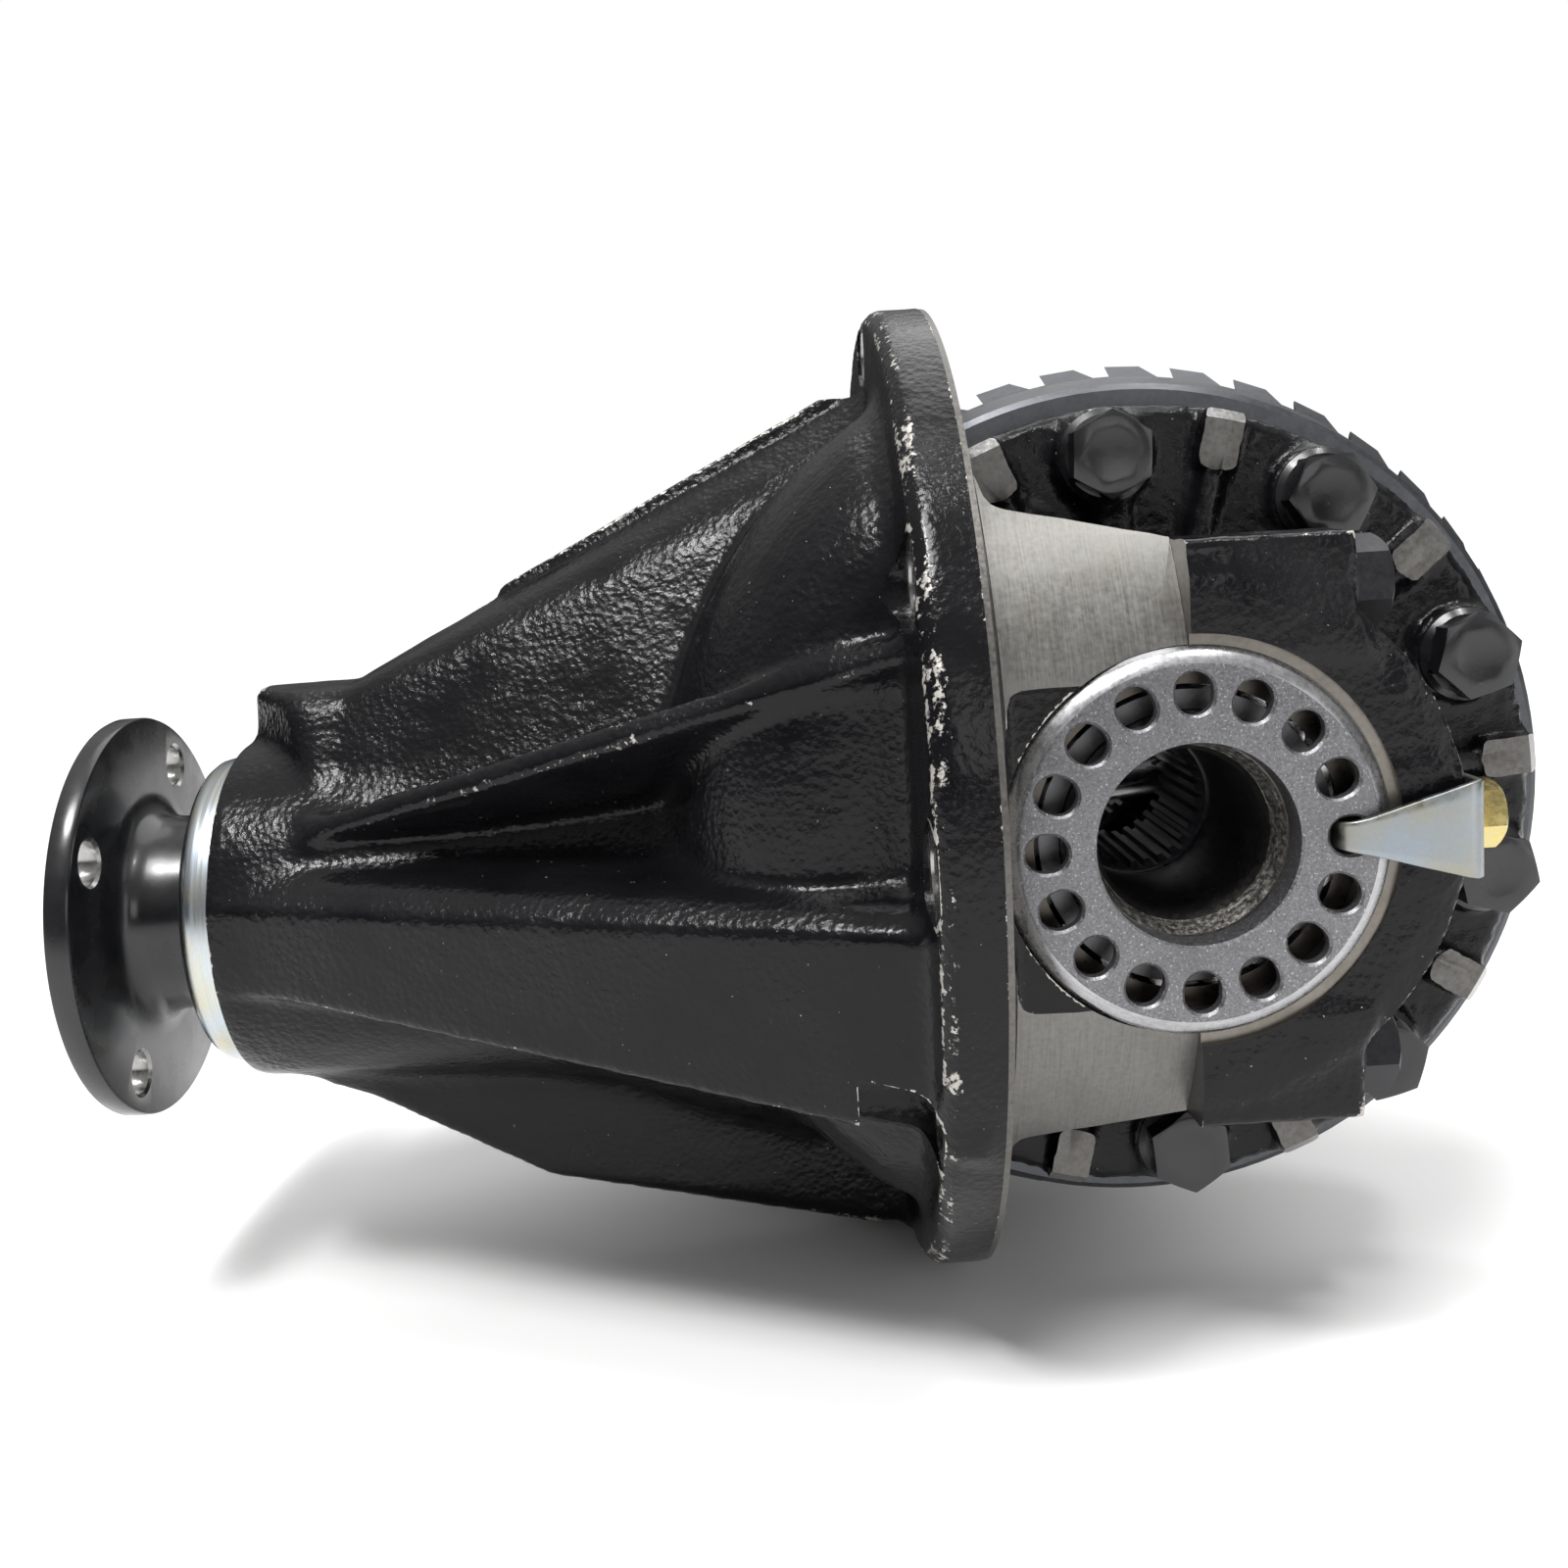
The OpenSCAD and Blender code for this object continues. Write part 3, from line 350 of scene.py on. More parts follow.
def block(name, lo, hi):
    verts = [(x, y, z) for x in (lo[0], hi[0]) for y in (lo[1], hi[1]) for z in (lo[2], hi[2])]
    return mesh_object(name, verts, [(0, 1, 3, 2), (4, 6, 7, 5), (0, 4, 5, 1),
                                     (2, 3, 7, 6), (0, 2, 6, 4), (1, 5, 7, 3)])


def merged(objects):
    """Joins cutters that stay clear of each other, or overlap, into one object."""
    bm = bmesh.new()
    for ob in objects:
        bm.from_mesh(ob.data)
        bpy.data.objects.remove(ob)
    me = bpy.data.meshes.new("cutter")
    bm.to_mesh(me)
    bm.free()
    ob = bpy.data.objects.new("cutter", me)
    bpy.context.scene.collection.objects.link(ob)
    return ob


def evaluate(ob):
    """Applies the object's modifiers to its mesh."""
    graph = bpy.context.evaluated_depsgraph_get()
    graph.update()
    me = bpy.data.meshes.new_from_object(ob.evaluated_get(graph), depsgraph=graph)
    ob.modifiers.clear()
    old, ob.data = ob.data, me
    bpy.data.meshes.remove(old)


def cut(ob, cutter, material=None, operation="DIFFERENCE", solver="MANIFOLD"):
    """Boolean, with the new faces in the given material."""
    if material is not None:
        cutter.data.materials.clear()
        cutter.data.materials.append(material)
    mod = ob.modifiers.new("cut", "BOOLEAN")
    mod.operation, mod.solver, mod.object = operation, solver, cutter
    mod.material_mode = "TRANSFER"
    evaluate(ob)
    bpy.data.objects.remove(cutter)


# ------------------------------------------------------------------ cast shapes as distance fields

def outline_distance(px, py, points):
    """Signed distance to a closed outline, negative inside."""
    px, py = np.broadcast_arrays(np.asarray(px, np.float32), np.asarray(py, np.float32))
    best = np.full(px.shape, 1e9, np.float32)
    inside = np.zeros(px.shape, bool)
    n = len(points)
    for i in range(n):
        (ax, ay), (bx, by) = points[i], points[(i + 1) % n]
        ex, ey = bx - ax, by - ay
        wx, wy = px - ax, py - ay
        t = np.clip((wx * ex + wy * ey) / (ex * ex + ey * ey + 1e-12), 0, 1)
        dx, dy = wx - ex * t, wy - ey * t
        np.minimum(best, dx * dx + dy * dy, out=best)
        if ay != by:
            crossing = (py >= min(ay, by)) & (py < max(ay, by))
            inside ^= crossing & (px < ax + (py - ay) * (ex / ey))
    return np.where(inside, -1, 1).astype(np.float32) * np.sqrt(best)


def smooth_min(a, b, k):
    h = np.clip(0.5 + 0.5 * (b - a) / k, 0, 1)
    return b + (a - b) * h - k * h * (1 - h)


def smooth_max(a, b, k):
    return -smooth_min(-a, -b, k)


class Casting:
    """A solid as a grid of signed distances in mm, so that joins get cast fillets."""

    def __init__(self, lo, hi, step):
        self.step = step
        self.lo = [math.floor(v / step) for v in lo]
        size = [math.ceil(v / step) - a + 1 for v, a in zip(hi, self.lo)]
        axes = [(np.arange(s, dtype=np.float32) + a) * step for s, a in zip(size, self.lo)]
        self.x, self.y, self.z = (axes[0][:, None, None], axes[1][None, :, None], axes[2][None, None, :])
        self.v = np.full(size, 60.0, np.float32)

    # shapes
    def turned_x(self, points, z=0.0):
        r = np.sqrt(self.y ** 2 + (self.z - z) ** 2)
        return self._table(points, self.x[:, 0, 0], r[0], 0)

    def turned_y(self, points, x=AXLE_X):
        r = np.sqrt((self.x - x) ** 2 + self.z ** 2)
        return self._table(points, self.y[0, :, 0], r[:, 0, :], 1)

    def _table(self, points, along, radius, axis):
        fine = 0.5
        rows = np.arange(0, float(radius.max()) + 2 * fine, fine, dtype=np.float32)
        points = [(-40.0 if r == 0 else r, a) for r, a in points]
        table = outline_distance(rows[None, :], along[:, None], points)
        low = np.floor(radius / fine).astype(np.int32)
        part = (radius / fine - low).astype(np.float32)
        got = table[:, low] * (1 - part) + table[:, low + 1] * part
        return got if axis == 0 else np.moveaxis(got, 0, 1)

    def plate_xz(self, points, y0, y1, round_by=2.0):
        flat = outline_distance(self.x, self.z, points)
        return smooth_max(flat, np.abs(self.y - (y0 + y1) / 2) - (y1 - y0) / 2, round_by)

    def plate_yz(self, points, x0, x1, round_by=2.0):
        flat = outline_distance(self.y, self.z, points)
        return smooth_max(flat, np.abs(self.x - (x0 + x1) / 2) - (x1 - x0) / 2, round_by)

    def rod_x(self, x0, x1, r, y=0.0, z=0.0, round_by=1.0):
        d = np.sqrt((self.y - y) ** 2 + (self.z - z) ** 2) - r
        return smooth_max(d, np.abs(self.x - (x0 + x1) / 2) - (x1 - x0) / 2, round_by)

    def rod_y(self, y0, y1, r, x=AXLE_X, z=0.0, round_by=1.0):
        d = np.sqrt((self.x - x) ** 2 + (self.z - z) ** 2) - r
        return smooth_max(d, np.abs(self.y - (y0 + y1) / 2) - (y1 - y0) / 2, round_by)

    def box(self, lo, hi, round_by=2.0):
        d = [np.abs(c - (a + b) / 2) - (b - a) / 2 for c, a, b in zip((self.x, self.y, self.z), lo, hi)]
        return smooth_max(smooth_max(d[0], d[1], round_by), d[2], round_by)

    def planes(self, spots, round_by=2.5):
        """A convex solid from planes, each a point and an outward direction."""
        got = None
        for spot, out in spots:
            out = np.array(out, float) / np.linalg.norm(out)
            d = sum((c - s) * o for c, s, o in zip((self.x, self.y, self.z), spot, out)).astype(np.float32)
            got = d if got is None else smooth_max(got, d, round_by)
        return got

    # joins
    def add(self, shape, fillet=4.0):
        self.v = smooth_min(self.v, shape, fillet)

    def take(self, shape, fillet=1.5):
        self.v = smooth_max(self.v, -shape, fillet)

    def mesh(self, name):
        grid = openvdb.FloatGrid(background=3.0 * self.step)
        grid.gridClass = openvdb.GridClass.LEVEL_SET
        field = np.ascontiguousarray(np.clip(self.v, -3 * self.step, 3 * self.step), np.float32)
        grid.copyFromArray(field, ijk=tuple(self.lo), tolerance=0.0)
        points, quads = grid.convertToQuads(isovalue=0.0)
        points = points * self.step * MM
        me = bpy.data.meshes.new(name)
        me.vertices.add(len(points))
        me.vertices.foreach_set("co", points.astype(np.float32).ravel())
        me.loops.add(len(quads) * 4)
        me.loops.foreach_set("vertex_index", quads.astype(np.int32).ravel())
        me.polygons.add(len(quads))
        me.polygons.foreach_set("loop_start", np.arange(0, len(quads) * 4, 4, dtype=np.int32))
        me.update(calc_edges=True)
        ob = bpy.data.objects.new(name, me)
        bpy.context.scene.collection.objects.link(ob)
        bm = bmesh.new()
        bm.from_mesh(me)
        if bm.calc_volume(signed=True) < 0:
            bmesh.ops.reverse_faces(bm, faces=bm.faces)
        bm.to_mesh(me)
        bm.free()
        return ob


def roughen(ob, depth_mm, size_mm, seed):
    """Uneven sand-cast skin, as real geometry."""
    me = ob.data
    normals = np.empty(len(me.vertices) * 3, np.float32)
    me.vertices.foreach_get("normal", normals)
    points = np.empty(len(me.vertices) * 3, np.float32)
    me.vertices.foreach_get("co", points)
    points, normals = points.reshape(-1, 3), normals.reshape(-1, 3)
    shift = Vector((seed * 3.1, seed * 1.7, seed * 2.3))
    scale = 1 / (size_mm * MM)
    push = np.array([noise.noise(Vector(p) * scale + shift) for p in points.tolist()], np.float32)
    me.vertices.foreach_set("co", (points + normals * push[:, None] * depth_mm * MM).ravel())
    me.update()


def mark_wear(ob, zones=(), amount=1.0):
    """Writes the wear attribute: edges by how convex they are, times amount and the zones' factors."""
    me = ob.data
    n = len(me.vertices)
    co = np.empty(n * 3, np.float32)
    no = np.empty(n * 3, np.float32)
    me.vertices.foreach_get("co", co)
    me.vertices.foreach_get("normal", no)
    co, no = co.reshape(-1, 3), no.reshape(-1, 3)
    edges = np.empty(len(me.edges) * 2, np.int32)
    me.edges.foreach_get("vertices", edges)
    a, b = edges.reshape(-1, 2).T
    step = co[a] - co[b]
    length = np.linalg.norm(step, axis=1) + 1e-9
    lean_a = np.einsum("ij,ij->i", no[a], step) / length
    lean_b = -np.einsum("ij,ij->i", no[b], step) / length
    total, count = np.zeros(n), np.zeros(n)
    for spot, value in ((a, lean_a), (b, lean_b)):
        np.add.at(total, spot, value)
        np.add.at(count, spot, 1)
    bend = total / np.maximum(count, 1)
    for _ in range(2):
        around = np.zeros(n)
        np.add.at(around, a, bend[b])
        np.add.at(around, b, bend[a])
        bend = 0.5 * bend + 0.5 * around / np.maximum(count, 1)
    wear = np.clip(bend / 0.24, 0, 1) * amount
    mm = co / MM
    for test, factor in zones:
        wear = wear * np.where(test(mm[:, 0], mm[:, 1], mm[:, 2]), factor, 1.0)
    layer = me.attributes.new("wear", "FLOAT", "POINT")
    layer.data.foreach_set("value", wear.astype(np.float32))


def finish(ob, body, nodes, angle=32):
    me = ob.data
    me.polygons.foreach_set("use_smooth", np.ones(len(me.polygons), bool))
    me.set_sharp_from_angle(angle=math.radians(angle))
    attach(ob, body)
    if nodes:
        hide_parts(*nodes)
    return ob


# ------------------------------------------------------------------ carrier housing

def housing():
    c = Casting((-184, -126, -126), (46, 126, 126), 1.5)
    arc = [math.radians(t) for t in range(90, -1, -10)]
    near = c.turned_y([(0, -88)] + [(68 + 42 * math.cos(t), -40 - 48 * math.sin(t)) for t in arc]
                      + [(110, -22), (100, -8), (0, -8)])
    near = smooth_max(near, c.rod_x(-75, 3, 107), 4)
    far = c.turned_y([(0, -12), (92, -12)]
                     + [(58 + 34 * math.cos(t), 40 + 48 * math.sin(t)) for t in reversed(arc)]
                     + [(0, 88)])
    far = smooth_max(far, c.rod_x(-60, 3, 95), 4)
    throat = c.turned_x([(0, NOSE_X - 2), (43, NOSE_X - 2), (44, NOSE_X + 2), (45, -160), (47, -112),
                         (51, -88),
                         (60, -62), (66, -40), (66, -8), (0, -8)], PINION_Z)
    c.add(near, 3)
    c.add(far, 6)
    c.add(throat, 9)
    # roof-shaped spine whose flanks run down to the ribs, with a prow-shaped lug in front
    ahead = c.x + 150
    crest = 36.4 + np.where(ahead > 0, 0.501, 0.02) * ahead
    edge = 34.8 + np.where(ahead > 0, 0.405, 0.02) * ahead
    wide = np.abs(c.y)
    roof = (c.z - crest + (crest - edge) * np.minimum(wide, 20) / 17) * 0.88
    flank = (wide - 17.2 - 0.48 * (edge - c.z)) * 0.90
    bead = smooth_max(np.abs(c.y) - 2.4, np.abs(c.z - crest - 0.1) * 0.88 - 1.7, 1.2)
    bead = smooth_max(bead, np.maximum(-112 - c.x, c.x + 20), 2)
    spine = smooth_min(smooth_max(roof, flank, 5.0), bead, 1.0)
    prow = c.planes([((-180.2, 0, 0), (-1, 0, 0)), ((-166.8, -17, 0), (-0.785, -0.62, 0.06)),
                     ((-166.8, 17, 0), (-0.785, 0.62, 0.06)), ((-7, 0, 0), (1, 0, 0)),
                     ((0, 0, -14), (0, 0, -1))], 0.8)
    c.add(smooth_max(spine, prow, 3.0).astype(np.float32), 3.0)
    # keel
    keel = c.plate_xz([(-168, -58), (-163, -68.7), (-109, -98.7), (-24, -118), (-8, -118), (-8, -40),
                       (-168, -40)], -13, 13, 5)
    c.add(keel, 8)
    for side in (-1, 1):
        # slim rib half way up
        tilt = math.radians(55)
        y = side * c.y
        w = (c.z - PINION_Z) * math.cos(tilt) - y * math.sin(tilt)
        across = y * math.cos(tilt) + (c.z - PINION_Z) * math.sin(tilt)
        rib = outline_distance(c.x, w, [(-159, 30), (-159, 41), (-156, 46.6), (-12, 117.2), (-8, 117.2),
                                        (-8, 45), (-100, 30)])
        c.add(smooth_max(rib, np.abs(across) - 3.3, 2.6), 3.5)
        # box-shaped shoulder
        spots = [((-178, side * 40.5, -7.4), (-0.038, side * 0.13, 1.0)),
                 ((-178, side * 44, -13), (-0.235, side * 0.62, 0.78)),
                 ((-96, side * 75.7, -13.7), shoulder_face(side)),
                 ((-178, side * 42, -33), (-0.21, side * 0.15, -1.0)),
                 ((-179, 0, 0), (-1, 0, 0)), ((-6, 0, 0), (1, 0, 0)),
                 ((0, side * 18, 0), (0, -side, 0))]
        c.add(c.planes(spots, 1.8), 4)
        # bearing pedestal
        ped = c.plate_yz([(side * 71, -68), (side * 71, 70.5), (side * 100, 70.5), (side * 100, -68)],
                         -12, AXLE_X + 3, 2)
        slope = c.planes([((3, 0, 70.5), (9, 0, 38)), ((3, 0, -67.5), (6, 0, -38)),
                          ((0, side * 71.5, 0), (0, -side, 0)),
                          ((0, side * PEDESTAL_Y, 0), (0, side, 0)), ((-12, 0, 0), (-1, 0, 0)),
                          ((AXLE_X + 3, 0, 0), (1, 0, 0))], 2.0)
        c.add(smooth_max(np.maximum(ped, slope), c.rod_x(-20, 60, 107.5), 2), 5)
    c.add(c.turned_x([(0, -FLANGE_T), (FLANGE_R - 2.6, -FLANGE_T), (FLANGE_R, -FLANGE_T + 2.6),
                      (FLANGE_R, 2), (0, 2)]), 5)
    # cast insides
    c.take(c.turned_y([(0, -PEDESTAL_IN), (95, -PEDESTAL_IN), (96, -64), (101, -60), (104.6, -54),
                       (104.6, -14), (88, -8), (88, 38), (64, PEDESTAL_IN), (0, PEDESTAL_IN)]), 2)
    c.take(c.turned_x([(0, -136), (36, -136), (36, -96), (0, -96)], PINION_Z), 2)
    c.take(c.turned_x([(0, -59), (42.8, -59), (42.8, 30), (0, 30)], PINION_Z), 2)
    ob = c.mesh("carrier_casting")
    roughen(ob, 0.14, 6.0, 1)
    ob.data.materials.append(M_CAST)

    # machining: mounting face, register, nose, bores, holes
    cut(ob, lathe("cut", [(PILOT_R, 0), (135, 0), (135, 60), (PILOT_R, 60)], "x", (0, 0, 0), 180), M_TURNED_X)
    cut(ob, lathe("cut", [(103.5, 0), (135, 0), (135, 3.2), (104.6, 3.2)], "x", (0, 0, 0), 180), M_TURNED_X)
    cut(ob, block("cut", (0, -PEDESTAL_IN + 0.4, -130), (60, PEDESTAL_IN - 0.4, 130)), M_MILLED)
    cut(ob, block("cut", (AXLE_X, -130, -130), (60, 130, 130)), M_MILLED)
    cut(ob, block("cut", (-200, -80, -90), (NOSE_X, 80, 60)), M_MILLED)
    cut(ob, lathe("cut", [(0, NOSE_X - 1), (29.05, NOSE_X - 1), (29.05, -171), (27, -170.5), (34.04, -170),
                          (34.04, -147), (29, -147), (29, -130), (0, -130)], "x", (0, 0, PINION_Z)), M_MILLED)
    cut(ob, lathe("cut", [(0, -100), (34.5, -100), (34.5, -86.6), (40.04, -86.6), (40.04, -62), (42.9, -59.4),
                          (42.9, -50), (0, -50)], "x", (0, 0, PINION_Z)), M_MILLED)
    for s in (-1, 1):
        cut(ob, rod("cut", "y", s * 87 - 18, s * 87 + 18, ADJUSTER_R + 0.05, (AXLE_X, 0, 0), 128), M_TURNED_Y)
    spots = []
    for a in MOUNT_DIRS:
        t = math.radians(a)
        at = (0, -FLANGE_PCR * math.sin(t), FLANGE_PCR * math.cos(t))
        spots.append(lathe("cut", [(0, -FLANGE_T - 16), (10.5, -FLANGE_T - 16), (10.5, -FLANGE_T + 0.6),
                                   (6.1, -FLANGE_T + 0.6), (5.5, -FLANGE_T + 1.2), (5.5, 3), (0, 3)],
                           "x", at, 48))
    cut(ob, merged(spots), M_SPOT)
    spot = ob.data.materials.find(M_SPOT.name)
    for f in ob.data.polygons:
        if f.material_index == spot and abs(f.normal.x) < 0.6 and f.center.x < -0.0134:
            f.material_index = 0
    cut(ob, lathe("cut", [(FLANGE_R - 0.2, -1.3), (130, -1.3), (130, 1), (FLANGE_R - 0.2, 1)], "x",
                  (0, 0, 0), 240),
        M_MILLED)
    mark_wear(ob, [
        (lambda x, y, z: (np.hypot(y, z) > 112) & (x < -8), 2.2),
        (lambda x, y, z: np.hypot(y, z) < 112, 1.1), (lambda x, y, z: np.hypot(y, z) >= 112, 0.8),
        (lambda x, y, z: (x > -1.0) & (np.hypot(y, z) > 118), 1.8),
    ])
    return finish(ob, "carrier", ["carrier_housing"], 40)


def shoulder_face(side):
    """Outward direction of the shoulder's flat face, through three of its corners."""
    a, b, d = (np.array(p, float) for p in ((-178, 44, -13), (-10, 109, -14.5), (-178, 42, -33)))
    out = np.cross(b - a, d - a)
    out = out if out[1] > 0 else -out
    return (out[0], out[1] * side, out[2])


housing()

# ------------------------------------------------------------------ bearing caps

def mirrored(ob, name):
    """A copy of the object on the other side of the XZ plane."""
    me = ob.data.copy()
    me.transform(Matrix.Diagonal((1, -1, 1, 1)))
    me.flip_normals()
    twin = bpy.data.objects.new(name, me)
    bpy.context.scene.collection.objects.link(twin)
    return twin


def both_sides(ob, name, body, node, angle=32):
    """The near piece and its mirror image, each for its own CAD node."""
    far = mirrored(ob, name + "_far")
    ob.name = name + "_near"
    finish(ob, body, [node + "_near"], angle)
    finish(far, body, [node + "_far"], angle)


def bearing_caps():
    c = Casting((38, -104, -68), (104, -68, 68), 1.1)
    arch = c.turned_y([(30, -98.2), (50, -98.8), (53.5, -98.3), (55.2, -96), (55.2, -75.5), (53.6, -73.6),
                       (30, -73.6)])
    c.add(arch, 1)
    z = np.abs(c.z)
    boss = np.sqrt((c.y + CAP_BOLT_Y) ** 2 + (z - CAP_BOLT_Z) ** 2) - 11
    boss = smooth_max(boss, c.x - AXLE_X - CAP_BOSS, 1.2)
    side = smooth_max(np.abs(z - 49.5) - 11.5, np.abs(c.y + 86) - 11.8, 2.0)
    side = smooth_max(side, c.x - AXLE_X - CAP_BOSS + 0.6, 1.2)
    c.add(smooth_min(boss, side, 1.5), 5)
    c.add(smooth_max(c.box((80, -97.6, -12.5), (96.0, -75.4, 12.5), 2.5), 50 - c.x, 1), 4)
    rad = np.sqrt((c.x - AXLE_X) ** 2 + c.z ** 2)
    c.add(smooth_max(np.abs(rad - 54.6) - 1.5, np.abs(c.y + 96.6) - 1.5, 0.8), 1)
    c.take(c.rod_y(-120, -60, 36, round_by=0.5), 1)
    ob = c.mesh("cap_casting")
    roughen(ob, 0.22, 4.0, 2)
    ob.data.materials.append(M_CAST)
    cut(ob, block("cut", (0, -130, -90), (AXLE_X + 0.05, -50, 90)), M_MILLED)
    cut(ob, rod("cut", "y", -130, -60, ADJUSTER_R + 0.05, (AXLE_X, 0, 0), 160), M_TURNED_Y)
    cut(ob, rod("cut", "y", -130, -98.05, ADJUSTER_R + 2.3, (AXLE_X, 0, 0), 160), M_TURNED_Y)
    heads = []
    for s in (-1, 1):
        at = (0, -CAP_BOLT_Y, s * CAP_BOLT_Z)
        heads.append(lathe("cut", [(0, 30), (6.3, 30), (6.3, AXLE_X + CAP_BOSS - 0.05),
                                   (11.4, AXLE_X + CAP_BOSS - 0.05), (11.4, 110), (0, 110)],
                           "x", at, 48))
    cut(ob, merged(heads), M_SPOT)
    cut(ob, lathe("cut", [(0, 84), (4.1, 84), (4.1, 95.9), (9.5, 95.9), (9.5, 110), (0, 110)], "x",
                  (0, -87, 0), 40),
        M_MILLED)
    mark_wear(ob, amount=0.78)
    both_sides(ob, "bearing_cap_cast", "carrier", "bearing_cap", 40)


# ------------------------------------------------------------------ differential case

def case():
    c = Casting((-54, -97, -95), (136, 97, 95), 1.3)
    c.add(c.turned_y([(0, -95), (24, -95), (24, -73), (29, -72.9), (31, -70), (36, -64), (50, -56.5),
                      (60, -54.6),
                      (88.6, -55), (90.8, -53.4), (90.8, -46.5), (65.9, -46.5), (65.9, -34), (58, -30),
                      (58, 40),
                      (52, 52), (34, 62), (30, 70), (29, 72.9), (24, 73), (24, 95), (0, 95)]), 2)
    # ten bolt bosses, and ten ribs that end in a pad between them
    ang = np.arctan2(c.z, c.x - AXLE_X)
    rad = np.sqrt((c.x - AXLE_X) ** 2 + c.z ** 2)

    def folded(first):
        turn = (ang - math.radians(first) + math.radians(18)) % math.radians(36) - math.radians(18)
        return rad * np.cos(turn), rad * np.sin(turn)

    u, w = folded(BOLT_DIRS[0])
    boss = smooth_max(np.sqrt((u - BOLT_PCR) ** 2 + w ** 2) - 11.0, np.abs(c.y + 53) - 4.9, 1.0)
    web = smooth_max(smooth_max(np.abs(w) - 4.2, np.abs(u - 60) - 18, 1.5), np.abs(c.y + 52) - 4.6, 2.0)
    u2, w2 = folded(CROSS_DIR)
    rib = outline_distance(np.broadcast_to(u2, c.v.shape), np.broadcast_to(c.y, c.v.shape),
                           [(38, -50), (38, -63.5), (54, -59.8), (80, -58.8), (86, -56), (86, -50)])
    rib = smooth_max(rib, np.abs(w2) - 2.6, 2.0)
    pad = smooth_max(np.abs(u2 - 84.5) - 6.4, np.abs(w2) - 4.4, 0.5)
    pad = smooth_max(pad, np.abs(c.y + 54) - 7, 0.5)
    for shape, fillet in ((boss, 2.5), (web, 3.0), (rib, 3.5), (pad, 2.0)):
        c.add(shape.astype(np.float32), fillet)
    ob = c.mesh("case_casting")
    roughen(ob, 0.30, 2.6, 3)
    ob.data.materials.append(M_CASE)
    # turned faces: rim with its chamfer, pads, journals, crown gear seat
    cut(ob, lathe("cut", [(130, -70), (130, -46), (90.9, -46), (90.9, -57.2), (88.6, BOLT_FACE - 1.5),
                          (88.6, -70)], "y", (AXLE_X, 0, 0), 240), M_SPOT)
    cut(ob, lathe("cut", [(76, -70), (130, -70), (130, BOLT_FACE - 1.5), (76, BOLT_FACE - 1.5)], "y",
                  (AXLE_X, 0, 0),
                  128), M_MILLED)
    cut(ob, lathe("cut", [(65.95, -47.05), (130, -47.05), (130, -20), (65.95, -20)], "y", (AXLE_X, 0, 0),
                  128), M_MILLED)
    for s in (-1, 1):
        journal = [(22.55, s * 73.1), (60, s * 73.1), (60, s * 100), (0, s * 100), (0, s * 93.8),
                   (21.4, s * 93.8), (22.55, s * 92.8)]
        cut(ob, lathe("cut", journal, "y", (AXLE_X, 0, 0), 96), M_JOURNAL)
        cut(ob, lathe("cut", [(0, s * 100), (21.4, s * 100), (20.6, s * 94.6), (18.7, s * 88.5),
                              (0, s * 88.5)], "y", (AXLE_X, 0, 0), 96), M_ROUGH)
        cut(ob, lathe("cut", [(0, s * 89), (18.75, s * 89), (18.65, s * 88.45), (17.2, s * 86.4),
                              (0, s * 86.4)], "y", (AXLE_X, 0, 0), 96), M_MILLED)
    bores = []
    for d in BOLT_DIRS:
        t = math.radians(d)
        at = (AXLE_X + BOLT_PCR * math.cos(t), 0, BOLT_PCR * math.sin(t))
        bores.append(lathe("cut", [(0, -70), (11.1, -70), (11.1, BOLT_FACE + 0.05),
                                   (5.7, BOLT_FACE + 0.05), (5.7, -30), (0, -30)], "y", at, 40))
    cut(ob, merged(bores), M_CASE)
    cut(ob, lathe("cut", [(0, -100), (CASE_BORE_R, -100), (CASE_BORE_R, -49), (HUB_BORE_R, -49),
                          (HUB_BORE_R, -32.8), (GEAR_BAY_R, -32.8),
                          (GEAR_BAY_R, 32.8), (HUB_BORE_R, 32.8), (HUB_BORE_R, 49), (CASE_BORE_R, 49),
                          (CASE_BORE_R, 100), (0, 100)], "y", (AXLE_X, 0, 0), 96), M_GEAR_OIL)
    lean = Matrix.Translation((AXLE_X * MM, 0, 0)) @ Matrix.Rotation(-math.radians(CROSS_DIR), 4, "Y")
    pockets = [rod("cut", "x", -46.1, 46.1, 29, (0, 0, 0), 72), rod("cut", "x", -60, 60, 9.02, (0, 0, 0), 48),
               rod("cut", "z", -70, 70, 22, (0, 4, 0), 72)]
    for tool in pockets:
        tool.data.transform(lean)
        cut(ob, tool, M_GEAR_OIL)
    mark_wear(ob)
    finish(ob, "case", ["diff_case"], 40)


# ------------------------------------------------------------------ turned, pressed and bolted pieces

